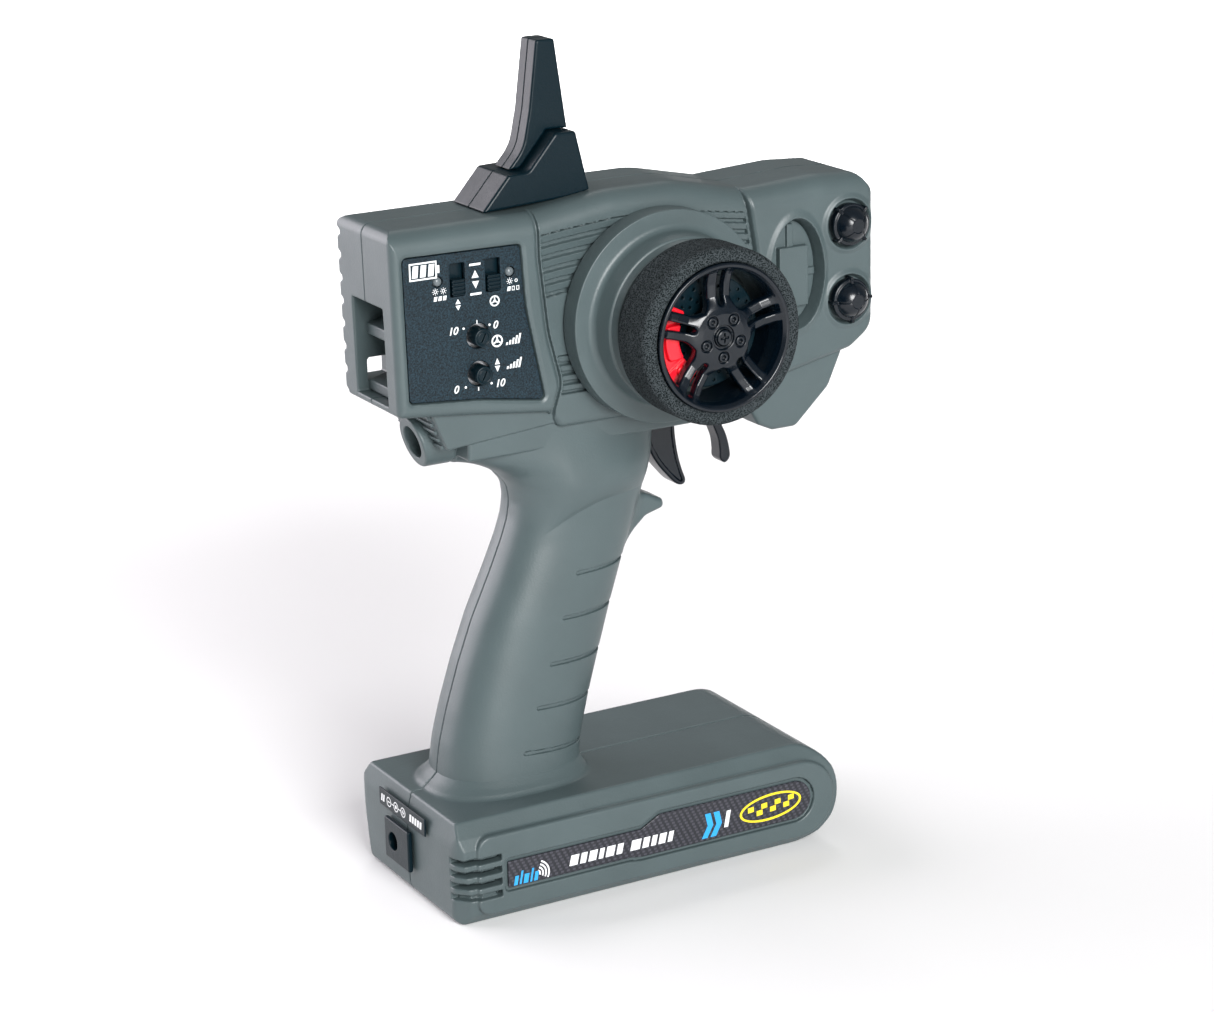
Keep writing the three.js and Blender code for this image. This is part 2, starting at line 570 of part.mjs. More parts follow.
// ---------------------------------------------------------------- trigger
function trigger() {
  const blade = [
    [18.9, 148], [18.6, 143.4], [20.4, 138.4], [24.6, 131.6], [30.6, 125.3, 1.6], [34.4, 125.6, 1.6],
    [32.6, 132.4],
    [31, 140.5], [30.4, 150, 4], [35, 154, 3], [42, 152, 3], [45, 144.4], [47.6, 138], [48, 130.6, 1.4],
    [52, 129.8, 1.4], [52.2, 135], [50.4, 142], [48.2, 150], [44, 162, 3], [37.6, 174, 4], [24.4, 174, 4],
    [19.6, 158],
  ];
  const body = sidePrism(blade, -TRIGGER_HALF, TRIGGER_HALF, { bevel: 1.1, steps: 2 });
  return body.subtract(discY(PIVOT_X, PIVOT_Z, 1.8, -20, 20, 16));
}

const triggerPin = () => discY(PIVOT_X, PIVOT_Z, 1.5, -13, 13, 16);
const triggerSpring = () => turned([[2, 5.6], [4.2, 5.6], [4.2, 8.6], [2, 8.6]], PIVOT_X, PIVOT_Z, 20);
const triggerPot = () => turned([[2, -11.4], [6.4, -11.4], [6.4, -5.4], [2, -5.4]], PIVOT_X, PIVOT_Z, 24);

// ---------------------------------------------------------------- rear power switch
function switchSurround() {
  const back = HEAD_REAR + RECESS.depth - GAP;
  const right = RECESS.right + GAP;
  const left = RECESS.left - GAP;
  const plate = block(back - 1.6, back, right, left, RECESS.low + GAP, RECESS.high - GAP);
  const ledge = (low, high) => sidePrism([[back - 1, low], [back - 1, high], [back - 7.2, high],
    [back - 8.6, low]], right, left);
  const slot = block(back - 20, back + 2, -5, 3, 178.6, 189.4);
  return plate.add(ledge(190.4, 194.4)).add(ledge(RECESS.low + GAP, 175.6)).subtract(slot);
}

const powerSwitchBody = () => block(-61.8, -54, -8, 6, 175, 193);

function powerSlider() {
  const thumb = block(-72, -68.2, -4.4, 2.4, 183, 188.6);
  const neck = block(-69, -66.9, -3, 1, 184.5, 187.4);
  const grooves = [1, 2].map((i) => block(-73, -71.4, -5, 3, 183 + 1.9 * i - 0.3, 183 + 1.9 * i + 0.3));
  return cut(thumb.add(neck), grooves);
}

// ---------------------------------------------------------------- antenna
const ANTENNA_BASE_SIDE = [
  [-42.4, HEAD_TOP + 0.8, 0.5], [-32.6, 239.4, 1.5], [-25.5, 239.6, 3], [-15.6, 251, 1.5],
  [-8.2, 251, 1.2], [-3.4, 232.6],
];
const ANTENNA_BLADE_SIDE = [
  [-18.5, ANTENNA_TOP, 0.8], [-12, ANTENNA_TOP, 0.8], [-8.2, 251.4], [-15.9, 251.4], [-25.7, 240.1, 3],
  [-29.4, 240.1],
  [-24, 246.5, 16], [-21.6, 258, 30],
];
const antennaBase = () => sidePrism(ANTENNA_BASE_SIDE, -11, 11, { bevel: 1.2, steps: 2 });
const antennaBlade = () => sidePrism(ANTENNA_BLADE_SIDE, -5.3, 5.3, { bevel: 1, steps: 3 });
const rightPart = (solid) => solid.intersect(block(-200, 200, -100, -GAP / 2, -50, 400));
const leftPart = (solid) => solid.intersect(block(-200, 200, GAP / 2, 100, -50, 400));
// the base's foot follows the head's rising top
const seatedAntennaBase = () => antennaBase().subtract(headSolid(GAP));

// ---------------------------------------------------------------- small outer pieces
function recessInsert() {
  const outline = ellipse(OVAL.x, OVAL.z, OVAL.reach - GAP, OVAL.height - GAP);
  const plate = sidePrism(outline, OVAL.floor - 1.6, OVAL.floor - GAP);
  const relief = block(62.6, 74, -18.6, -15.5, 185, 205.3);
  const upright = block(66.4, 68.8, -17.6, -15.5, 204, 213);
  const cross = block(73, 77.2, -17.6, -15.5, 195, 197);
  return union([plate, relief, upright, cross]);
}

// strap tube with a slanted rear end
function strapTube() {
  const side = [[TUBE.rear, TUBE.z + 10], [TUBE.front, TUBE.z + 10], [TUBE.front, TUBE.z - 10],
    [TUBE.rear + TUBE.slant, TUBE.z - 10]];
  const body = discX(0, TUBE.z, TUBE.radius, TUBE.rear, TUBE.front - GAP, 28)
    .intersect(sidePrism(side, -TUBE.radius - 1, TUBE.radius + 1));
  return body.subtract(discX(0, TUBE.z, TUBE.bore, TUBE.rear - 5, TUBE.front - 3, 24));
}

function chargeSocket() {
  const flange = block(BASE_REAR - 1.8, BASE_REAR - 0.3, -4.2, 13.8, 8.8, 23.2);
  const barrel = socketBlock(BASE_REAR - 1, BASE_REAR + 10, 0);
  return flange.add(barrel).subtract(discX(SOCKET.y, SOCKET.z, SOCKET.bore, BASE_REAR - 5, BASE_REAR + 8,
    16));
}

const rearStrip = () => block(BASE_REAR - 0.9, BASE_REAR - 0.3, -15.6, 19, 25.6, 31.8);
const sideLabel = () => sidePrism(LABEL_SIDE, -SIDE_PAD + 0.3, -SIDE_PAD + 1.1);

// ---------------------------------------------------------------- battery compartment
const coverPlate = () => block(FLOOR_REAR, DOOR_REAR - GAP, -FLOOR_HALF, FLOOR_HALF, 0, FLOOR_THICKNESS);

function batteryDoor() {
  const slab = block(DOOR_REAR, 90, -FLOOR_HALF, FLOOR_HALF, 0, FLOOR_THICKNESS);
  const grip = [0, 1, 2, 3].map((i) => block(44 + 2.6 * i, 45.2 + 2.6 * i, -9, 9, -1, 0.5));
  return cut(slab.intersect(sidePrism(BASE_SIDE, -40, 40, { steps: 5 })), grip);
}

const cell = (i) => turned([[0, -CELL_LENGTH / 2], [2.6, -CELL_LENGTH / 2], [2.6, -CELL_LENGTH / 2 + 1.2],
  [CELL_RADIUS, -CELL_LENGTH / 2 + 1.3], [CELL_RADIUS, CELL_LENGTH / 2], [0, CELL_LENGTH / 2]],
FIRST_CELL_X + CELL_PITCH * i, CELL_Z, 20, false);

const contactPlate = (side) => block(7, 62, side > 0 ? 25.4 : -26.2, side > 0 ? 26.2 : -25.4, 4, 17);

// ---------------------------------------------------------------- circuit boards
function mainBoard() {
  const board = sidePrism([[-58, 208], [-58, 222], [80, 222], [80, 176], [50, 168], [-50, 172]], 9, 10.6);
  const clearances = SCREWS.slice(0, 2).map(([x, z]) => discY(x, z, BOSS_RADIUS + 1, -40, 40, 16));
  return cut(board, clearances);
}

const radioBoard = () => block(-46, -30, -2, -0.8, 204, 222);

const screw = (i) => {
  const [x, z] = SCREWS[i];
  const seat = screwSeat(i) + GAP;
  const head = turned([[0, seat], [2.4, seat], [2.4, seat + 1], [1.6, seat + 1.6], [0, seat + 1.7]],
    x, z, 16, false);
  return head.subtract(block(x - 1.3, x + 1.3, seat + 1.1, seat + 3, z - 0.3, z + 0.3));
};

// ---------------------------------------------------------------- assembly
const transmitter = new THREE.Group();

function add(name, solid, material) {
  const mesh = new THREE.Mesh(toGeometry(solid), material);
  mesh.name = name;
  transmitter.add(mesh);
}

const halves = housingHalves();
add('housing_right', halves.right, bodyGray());
add('housing_left', halves.left, bodyGray());
add('panel_plate', panelPlate(), satinBlack());
add('reverse_slider_throttle', reverseSlider(THROTTLE_SLOT_X), satinBlack());
add('reverse_slider_steering', reverseSlider(STEERING_SLOT_X), satinBlack());
add('reverse_switch_throttle', reverseSwitch(THROTTLE_SLOT_X), satinBlack());
add('reverse_switch_steering', reverseSwitch(STEERING_SLOT_X), satinBlack());
['steering', 'throttle'].forEach((name, i) => {
  add(`dual_rate_knob_${name}`, dualRateKnob(DUAL_RATE_Z[i]), glossBlack());
  add(`dual_rate_pot_${name}`, dualRatePot(DUAL_RATE_Z[i]), steel());
  add(`trim_knob_${name}`, trimKnob(TRIM_Z[i]), glossBlack());
  add(`trim_pot_${name}`, trimPot(TRIM_Z[i]), steel());
});
add('lamp_full', lamp(LAMP_X[0]), plastic(0x8d9490, 0.3));
add('lamp_low', lamp(LAMP_X[1]), plastic(0x8d9490, 0.3));

add('steering_cover', steeringCover(), bodyGray());
add('wheel_rim', wheelRim(), glossBlack());
add('foam_tyre', foamTyre(), foam());
add('brake_disc', brakeDisc(), satinBlack());
add('brake_caliper', brakeCaliper(), redPlastic());
add('hub_screw', hubScrew(), glossBlack());
add('wheel_shaft', wheelShaft(), steel());
add('shaft_bush', shaftBush(), satinBlack());
add('centring_spring', centringSpring(), steel());
add('steering_pot', steeringPot(), steel());

add('trigger', trigger(), glossBlack());
add('trigger_pin', triggerPin(), steel());
add('trigger_spring', triggerSpring(), steel());
add('trigger_pot', triggerPot(), steel());

add('switch_surround', switchSurround(), bodyGray());
add('power_switch_body', powerSwitchBody(), satinBlack());
add('power_slider', powerSlider(), satinBlack());

add('antenna_base_right', rightPart(seatedAntennaBase()), satinBlack());
add('antenna_base_left', leftPart(seatedAntennaBase()), satinBlack());
add('antenna_blade_right', rightPart(antennaBlade()), satinBlack());
add('antenna_blade_left', leftPart(antennaBlade()), satinBlack());

add('recess_insert', recessInsert(), bodyGray());
add('strap_tube', strapTube(), bodyGray());
add('charge_socket', chargeSocket(), satinBlack());
add('rear_strip', rearStrip(), satinBlack());
add('side_label', sideLabel(), satinBlack());

add('base_cover_plate', coverPlate(), bodyGray());
add('battery_door', batteryDoor(), bodyGray());
for (let i = 0; i < 4; i += 1) {
  add(`battery_cell_${i + 1}`, cell(i), plastic(0x2c5f9e, 0.35));
}
add('contact_plate_left', contactPlate(1), steel());
add('contact_plate_right', contactPlate(-1), steel());
add('main_board', mainBoard(), boardGreen());
add('radio_board', radioBoard(), boardGreen());
SCREWS.forEach((place, i) => add(`housing_screw_${i + 1}`, screw(i), steel()));

export default transmitter;
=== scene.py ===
import json
import math
from functools import partial

import bmesh
import bpy
import numpy as np
from mathutils import Matrix, Vector


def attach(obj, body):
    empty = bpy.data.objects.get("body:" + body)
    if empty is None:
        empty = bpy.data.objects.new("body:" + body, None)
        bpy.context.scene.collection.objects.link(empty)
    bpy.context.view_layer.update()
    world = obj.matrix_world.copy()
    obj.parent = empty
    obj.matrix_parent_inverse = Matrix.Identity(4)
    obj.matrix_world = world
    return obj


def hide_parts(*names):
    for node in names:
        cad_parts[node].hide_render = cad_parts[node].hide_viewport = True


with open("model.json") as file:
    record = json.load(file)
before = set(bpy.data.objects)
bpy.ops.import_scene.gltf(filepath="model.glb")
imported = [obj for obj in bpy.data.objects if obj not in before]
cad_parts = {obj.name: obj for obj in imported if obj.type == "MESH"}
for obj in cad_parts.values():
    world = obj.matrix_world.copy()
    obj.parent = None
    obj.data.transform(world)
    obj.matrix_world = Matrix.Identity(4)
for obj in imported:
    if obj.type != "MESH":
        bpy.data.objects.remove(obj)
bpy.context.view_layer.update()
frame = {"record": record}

# Looks of a pistol-grip radio transmitter. Shapes are distance fields in millimetres, negative inside,
# turned into quad meshes in metres in the CAD model's frame.
MM = 0.001
RIGHT, LEFT = -1, 1                    # the wheel's side is -Y
SEAM = 0.12                            # half the gap between the housing halves
SHARP = 35                             # degrees between faces that meet in a crisp edge
INK = 0.06                             # thickness of the printed marks

HEAD_HALF = 20.7
HEAD_REAR = -79.5
HEAD_FRONT = 98.6
HEAD_TOP = 228.0
HEAD_CREST = 232.0
MID_RECESS = 1.2
WHEEL = (15.3, 190.6)
PANEL_Y = -19.9
DUAL_RATE_X = -49.9
DUAL_RATE_Z = (192.0, 179.8)
LAMPS = {"lamp_full": -63.2, "lamp_low": -38.0}
LAMP_Z = 211.0
TRIM_X = 88.4
TRIM_Z = (210.8, 185.2)
TUBE_Z = 155.0
TUBE_RADIUS = 8.4
OVAL = (68.0, 196.4, 10.0, 17.6)
SLIDER_X = {"throttle": -56.35, "steering": -43.95}
BASE_REAR, BASE_FRONT, BASE_TOP = -73.0, 73.0, 35.9
SIDE_PAD = 38.2
# screw centres and the height of the left surface there
SCREWS = ((-18, 216, 19.5), (62, 221, 18.4), (66, 150.5, 17), (-22, 112, 15.9), (-52, 20, 38.2))
WELL_RADIUS, WELL_DEPTH = 2.9, 2.6


# ---- distance fields
def union(a, b, r=0.0):
    if r == 0:
        return np.minimum(a, b)
    near = np.hypot(np.maximum(r - a, 0), np.maximum(r - b, 0))
    return np.maximum(r, np.minimum(a, b)) - near


def both(a, b, r=0.0):
    return -union(-a, -b, r)


def cut(a, b, r=0.0):
    return both(a, -b, r)


def ramp(v, start, end):
    t = np.clip((v - start) / (end - start), 0, 1)
    return t * t * (3 - 2 * t)


def ridge(v, centre, half, soft):
    return ramp(half + soft - np.abs(v - centre), 0, soft)


def polygon(u, v, points):
    nearest, inside = np.inf, False
    for (x0, y0), (x1, y1) in zip(points, points[1:] + points[:1]):
        ex, ey = x1 - x0, y1 - y0
        wx, wy = u - x0, v - y0
        t = np.clip((wx * ex + wy * ey) / (ex * ex + ey * ey), 0, 1)
        nearest = np.minimum(nearest, (wx - ex * t) ** 2 + (wy - ey * t) ** 2)
        if y0 != y1:
            inside = inside ^ (((y0 <= v) != (y1 <= v)) & (wx < ex * wy / ey))
    return np.where(inside, -1, 1) * np.sqrt(nearest)


def rounded(corners, steps=7):
    """An outline with each (x, y, radius) corner turned into an arc."""
    points = []
    for i, (x, y, *rest) in enumerate(corners):
        radius = rest[0] if rest else 0
        if not radius:
            points.append((x, y))
            continue
        before = Vector(corners[i - 1][:2]) - Vector((x, y))
        after = Vector(corners[(i + 1) % len(corners)][:2]) - Vector((x, y))
        before.normalize()
        after.normalize()
        half = math.acos(max(-1, min(1, before.dot(after)))) / 2
        middle = Vector((x, y)) + (before + after).normalized() * radius / math.sin(half)
        start = Vector((x, y)) + before * radius / math.tan(half) - middle
        end = Vector((x, y)) + after * radius / math.tan(half) - middle
        turn = math.atan2(start.cross(end), start.dot(end))
        for k in range(steps + 1):
            spoke = Matrix.Rotation(turn * k / steps, 2) @ start
            points.append(tuple(middle + spoke))
    return points


class Outline:
    """Signed distance to a closed outline of (u, v, radius) corners, read from a table."""

    def __init__(self, corners, steps=7, grid=0.25, pad=4.0):
        points = rounded(corners, steps)
        self.low = np.min(points, axis=0) - pad
        self.grid = grid
        high = np.max(points, axis=0) + pad
        u, v = [np.arange(self.low[k], high[k], grid, dtype=np.float32) for k in (0, 1)]
        self.table = polygon(u[:, None], v[None, :], points).astype(np.float32)

    def __call__(self, u, v):
        a, b = (u - self.low[0]) / self.grid, (v - self.low[1]) / self.grid
        near_a = np.clip(a, 0, self.table.shape[0] - 1.001)
        near_b = np.clip(b, 0, self.table.shape[1] - 1.001)
        i, j = near_a.astype(int), near_b.astype(int)
        s, t, table = near_a - i, near_b - j, self.table
        lower = table[i, j] * (1 - s) + table[i + 1, j] * s
        upper = table[i, j + 1] * (1 - s) + table[i + 1, j + 1] * s
        return lower * (1 - t) + upper * t + self.grid * np.hypot(a - near_a, b - near_b)


def slab(v, low, high):
    return np.maximum(low - v, v - high)


def block(x, y, z, box, r=0.0):
    x0, x1, y0, y1, z0, z1 = box
    return both(both(slab(x, x0, x1), slab(y, y0, y1), r), slab(z, z0, z1), r)


def tube(a, b, centre, radius):
    return np.hypot(a - centre[0], b - centre[1]) - radius


def ellipse(a, b, centre, ra, rb):
    return (np.hypot((a - centre[0]) / ra, (b - centre[1]) / rb) - 1) * min(ra, rb)


def smooth_table(levels, spread=5.0):
    """Columns of a (height, ...) table as smooth functions of height."""
    heights = [row[0] for row in levels]
    dense = np.arange(heights[0] - 20, heights[-1] + 20, 0.5)
    kernel = np.hanning(int(spread / 0.5) * 2 + 1)
    kernel /= kernel.sum()
    pad = len(kernel) // 2
    columns = []
    for k in range(1, len(levels[0])):
        row = np.interp(dense, heights, [level[k] for level in levels])
        columns.append(np.convolve(np.pad(row, pad, mode="edge"), kernel, mode="valid"))
    return lambda z: [np.interp(z, dense, column) for column in columns]


# ---- meshes
def gradient(field, points, reach):
    columns = []
    for k in range(3):
        ahead, behind = points.copy(), points.copy()
        ahead[:, k] += reach
        behind[:, k] -= reach
        columns.append((field(*ahead.T) - field(*behind.T)) / (2 * reach))
    return np.stack(columns, axis=1)


def contour(field, low, high, step):
    """Quads where the field is zero, by the surface-nets method, moved onto the true surface."""
    axes = [np.arange(low[k] - step, high[k] + 2 * step, step) for k in range(3)]
    x, y, z = np.meshgrid(*axes, indexing="ij", sparse=True)
    values = np.broadcast_to(field(x, y, z), [len(a) for a in axes]).astype(np.float32)
    inside = values < 0
    corners = [(i, j, k) for i in (0, 1) for j in (0, 1) for k in (0, 1)]
    size = np.array(inside.shape) - 1
    count = np.zeros(size, np.int8)
    for i, j, k in corners:
        count += inside[i:size[0] + i, j:size[1] + j, k:size[2] + k]
    cells = np.argwhere((count > 0) & (count < 8))
    number = np.full(size, -1, np.int64)
    number[tuple(cells.T)] = np.arange(len(cells))
    total, hits = np.zeros((len(cells), 3)), np.zeros(len(cells))
    for axis in range(3):
        for offset in corners:
            if offset[axis]:
                continue
            far = list(offset)
            far[axis] = 1
            a = values[tuple((cells + offset).T)]
            b = values[tuple((cells + far).T)]
            crossing = (a < 0) != (b < 0)
            place = np.tile(np.array(offset, float), (len(cells), 1))
            place[:, axis] += np.where(crossing, a / np.where(crossing, a - b, 1), 0)
            total += place * crossing[:, None]
            hits += crossing
    points = np.array([a[0] for a in axes]) + step * (cells + total / hits[:, None])
    faces = []
    for axis in range(3):
        u, v = [k for k in range(3) if k != axis]
        lower = inside.take(range(size[axis]), axis)
        upper = inside.take(range(1, size[axis] + 1), axis)
        edges = np.argwhere(lower != upper)
        edges = edges[(edges[:, u] > 0) & (edges[:, v] > 0) & (edges[:, u] < size[u]) & (edges[:,
                v] < size[v])]
        ring = []
        for du, dv in ((-1, -1), (0, -1), (0, 0), (-1, 0)):
            cell = edges.copy()
            cell[:, u] += du
            cell[:, v] += dv
            ring.append(number[tuple(cell.T)])
        quad = np.stack(ring, axis=1)
        outward = lower[tuple(edges.T)] != (axis == 1)
        faces.append(np.where(outward[:, None], quad, quad[:, ::-1]))
    for _ in range(2):
        slope = gradient(field, points, 0.02)
        steep = np.maximum((slope ** 2).sum(axis=1), 0.05)
        move = slope * (field(*points.T) / steep)[:, None]
        far = np.linalg.norm(move, axis=1)
        points -= move * np.minimum(1, 0.4 * step / np.maximum(far, 1e-9))[:, None]
    normals = gradient(field, points, 0.12)
    return points, np.concatenate(faces), normals


def mesh_object(name, points, faces, normals=None):
    mesh = bpy.data.meshes.new(name)
    mesh.from_pydata((np.asarray(points) * MM).tolist(), [], np.asarray(faces).tolist())
    mesh.shade_smooth()
    if normals is not None:
        lengths = np.maximum(np.linalg.norm(normals, axis=1, keepdims=True), 1e-9)
        mesh.normals_split_custom_set_from_vertices((normals / lengths).tolist())
    piece = bpy.data.objects.new(name, mesh)
    bpy.context.scene.collection.objects.link(piece)
    return piece


def finish_piece(piece, body, slot, nodes=(), material=None):
    piece.data.materials.append(material or LOOKS[slot])
    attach(piece, body)
    if nodes:
        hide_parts(*nodes)
    return piece


def carve_parts(name, body, slot, node, parts, material=None):
    """One piece, in place of a CAD node, from (field, low corner, high corner, step) parts."""
    points, faces, normals, count = [], [], [], 0
    for field, low, high, step in parts:
        p, f, n = contour(field, low, high, step)
        points.append(p)
        faces.append(f + count)
        normals.append(n)
        count += len(p)
    piece = mesh_object(name, np.concatenate(points), np.concatenate(faces), np.concatenate(normals))
    return finish_piece(piece, body, slot, (node,), material)


def carve(name, body, slot, node, field, low, high, step, material=None):
    return carve_parts(name, body, slot, node, [(field, low, high, step * FINE)], material)


# ---- materials
def new_material(name):
    material = bpy.data.materials.new(name)
    material.use_nodes = True
    tree = material.node_tree
    shader = tree.nodes["Principled BSDF"]
    coordinates = tree.nodes.new("ShaderNodeTexCoord")
    return material, tree, shader, coordinates.outputs["Object"]


def noise(tree, where, scale, detail=2.0, rough=0.5):
    node = tree.nodes.new("ShaderNodeTexNoise")
    node.inputs["Scale"].default_value = scale
    node.inputs["Detail"].default_value = detail
    node.inputs["Roughness"].default_value = rough
    tree.links.new(where, node.inputs["Vector"])
    return node.outputs["Fac"]


def graded(tree, value, stops):
    node = tree.nodes.new("ShaderNodeValToRGB")
    node.color_ramp.elements.remove(node.color_ramp.elements[1])
    for i, (place, colour) in enumerate(stops):
        element = node.color_ramp.elements[0] if i == 0 else node.color_ramp.elements.new(place)
        element.position = place
        element.color = (*colour, 1)
    tree.links.new(value, node.inputs["Fac"])
    return node.outputs["Color"]


def scaled(tree, value, low, high):
    node = tree.nodes.new("ShaderNodeMapRange")
    node.inputs["To Min"].default_value = low
    node.inputs["To Max"].default_value = high
    tree.links.new(value, node.inputs["Value"])
    return node.outputs["Result"]


def maths(tree, operation, a, b=None):
    node = tree.nodes.new("ShaderNodeMath")
    node.operation = operation
    for socket, value in zip(node.inputs, (a, b)):
        if value is None:
            continue
        if isinstance(value, (int, float)):
            socket.default_value = value
        else:
            tree.links.new(value, socket)
    return node.outputs["Value"]


def bump(tree, shader, height, strength, distance):
    node = tree.nodes.new("ShaderNodeBump")
    node.inputs["Strength"].default_value = strength
    node.inputs["Distance"].default_value = distance * MM
    tree.links.new(height, node.inputs["Height"])
    tree.links.new(node.outputs["Normal"], shader.inputs["Normal"])


def plastic(name, colour, rough, grain=2600.0, strength=0.25, depth=0.05, spread=0.06, spots=0.0, coat=0.0,
        shine=0.5):
    """Moulded plastic: a fine spark-eroded grain, slow colour drift and uneven gloss."""
    material, tree, shader, where = new_material(name)
    slow = noise(tree, where, 45.0, 3.0)
    fine = noise(tree, where, grain, 3.0, 0.6)
    drift = [tuple(c * (1 + spread * k) for c in colour) for k in (-1, 1)]
    base = graded(tree, slow, [(0.3, drift[0]), (0.7, drift[1])])
    if spots:
        speckle = graded(tree, fine, [(0.35, (1 - spots,) * 3), (0.65, (1 + spots,) * 3)])
        mix = tree.nodes.new("ShaderNodeMix")
        mix.data_type = "RGBA"
        mix.blend_type = "MULTIPLY"
        mix.inputs["Factor"].default_value = 1.0
        tree.links.new(base, mix.inputs["A"])
        tree.links.new(speckle, mix.inputs["B"])
        base = mix.outputs["Result"]
    tree.links.new(base, shader.inputs["Base Color"])
    tree.links.new(scaled(tree, noise(tree, where, 160.0, 4.0), rough - 0.06, rough + 0.06),
            shader.inputs["Roughness"])
    bump(tree, shader, fine, strength, depth)
    shader.inputs["Coat Weight"].default_value = coat
    shader.inputs["Specular IOR Level"].default_value = shine
    return material


def metal(name, colour, rough):
    material, tree, shader, where = new_material(name)
    stretch = tree.nodes.new("ShaderNodeMapping")
    stretch.inputs["Scale"].default_value = (1, 12, 1)
    tree.links.new(where, stretch.inputs["Vector"])
    lines = noise(tree, stretch.outputs["Vector"], 900.0, 3.0)
    tree.links.new(graded(tree, lines, [(0.3, tuple(c * 0.85 for c in colour)), (0.7, colour)]),
            shader.inputs["Base Color"])
    tree.links.new(scaled(tree, lines, rough - 0.08, rough + 0.1), shader.inputs["Roughness"])
    shader.inputs["Metallic"].default_value = 1.0
    bump(tree, shader, lines, 0.15, 0.03)
    return material


def foam_rubber(name):
    """Open-cell foam: painted shade darkens the small pores between lighter cell walls."""
    material, tree, shader, where = new_material(name)
    cells = tree.nodes.new("ShaderNodeTexVoronoi")
    cells.inputs["Scale"].default_value = 2200.0
    tree.links.new(where, cells.inputs["Vector"])
    fine = noise(tree, where, 3200.0, 4.0, 0.7)
    height = maths(tree, "ADD", maths(tree, "MULTIPLY", cells.outputs["Distance"], 0.9), fine)
    # the colour darkens with the pores' depth, the same height as the bump: painted shade in the pores
    tree.links.new(graded(tree, height, [(0.48, (0.001, 0.002, 0.002)), (0.85, (0.004, 0.008, 0.009)),
            (1.0, (0.05, 0.06, 0.065))]), shader.inputs["Base Color"])
    shader.inputs["Roughness"].default_value = 0.95
    shader.inputs["Specular IOR Level"].default_value = 0.12
    bump(tree, shader, height, 0.9, 0.35)
    return material


BODY = plastic("body_gray", (0.063, 0.088, 0.092), 0.40, grain=1300.0, strength=0.6, depth=0.09)
PANEL = plastic("panel_black", (0.007, 0.018, 0.026), 0.55, grain=1900.0, strength=0.7, depth=0.1, spots=0.8,
        shine=0.25)
SATIN = plastic("satin_black", (0.001, 0.009, 0.014), 0.33, grain=1300.0, strength=0.6, depth=0.1, shine=0.24)
GLOSS = plastic("gloss_black", (0.001, 0.004, 0.008), 0.24, grain=900.0, strength=0.04, shine=0.5)
RED = plastic("red_plastic", (0.85, 0.008, 0.022), 0.3, grain=1500.0, strength=0.1, coat=0.2)
LAMP = plastic("lamp_gray", (0.11, 0.13, 0.14), 0.25, grain=1200.0, strength=0.05)
WHITE = plastic("print_white", (0.80, 0.82, 0.83), 0.5, grain=2500.0, strength=0.1)
BLUE = plastic("print_blue", (0.02, 0.33, 0.72), 0.45, grain=2500.0, strength=0.1)
YELLOW = plastic("print_yellow", (0.85, 0.66, 0.02), 0.45, grain=2500.0, strength=0.1)
STEEL = metal("steel", (0.60, 0.61, 0.63), 0.32)
CAST = metal("cast_metal", (0.55, 0.56, 0.58), 0.42)
CELL = plastic("cell_jacket", (0.03, 0.12, 0.32), 0.3, grain=700.0, strength=0.08, coat=0.2)
BOARD = plastic("board_green", (0.012, 0.10, 0.05), 0.4, grain=500.0, strength=0.4, depth=0.1, spots=0.3)
FOAM = foam_rubber("foam")

# the material of each slot in the record
LOOKS = {
    "body_gray": BODY, "panel_black": PANEL, "satin_black": SATIN, "gloss_black": GLOSS, "foam": FOAM,
    "red_plastic": RED, "lamp_gray": LAMP, "label_print": SATIN, "steel": STEEL, "cast_metal": CAST,
    "cell_jacket": CELL, "board_green": BOARD,
}

# ---- head
HEAD_OUTLINE = Outline([
    (HEAD_REAR, HEAD_TOP, 3.5), (-27, HEAD_TOP + 0.2, 30), (0, HEAD_CREST, 40), (24, HEAD_CREST, 40),
    (50, 226.4, 12), (78, HEAD_TOP, 30), (93.5, 227, 4), (HEAD_FRONT, 221.5, 4), (HEAD_FRONT, 174, 8),
    (90, 168, 6), (62, 162, 10), (44, 157, 6), (-21, 157, 3), (-25, 163, 3), (-52, 166.4, 30),
    (HEAD_REAR + 1, 169, 2)])
CROWN_OUTLINE = Outline([
    (HEAD_REAR - 20, HEAD_TOP), (-27, HEAD_TOP + 0.2, 30), (0, HEAD_CREST, 40), (24, HEAD_CREST, 40),
    (50, 226.4, 12), (78, HEAD_TOP, 30), (93.5, 227, 4), (HEAD_FRONT + 20, 226), (HEAD_FRONT + 20, 100),
    (HEAD_REAR - 20, 100)])
MIDDLE = Outline([
    (-28.2, 250), (-28.2, 214, 20), (-25.6, 189, 40), (-21.4, 172, 8), (-24.2, 163.6), (-24.2, 140),
    (62, 140), (52.6, 208, 6), (50, 224, 3), (47, 250)])
PANEL_OUTLINE = Outline([
    (-75.3, 219.9, 1.6), (-34.0, 219.4, 1.6), (-32.8, 199, 60), (-26.7, 167.7, 1.6), (-50, 171.3, 60),
    (-74.6, 173.3, 1.6)])
JAW = Outline([
    (46, 176), (88.5, 176), (88.5, 166.5, 3), (83, 154.5, 4), (71.5, 142, 3), (62.5, 142, 2),
    (56.5, 144.8, 2), (53.2, 150, 3), (48, 158)])
FLAP = Outline([(-67.3, 172), (-60.6, 155.4, 1), (-20, 158.6), (-5, 156.8, 1), (40, 156.8), (40, 172)])
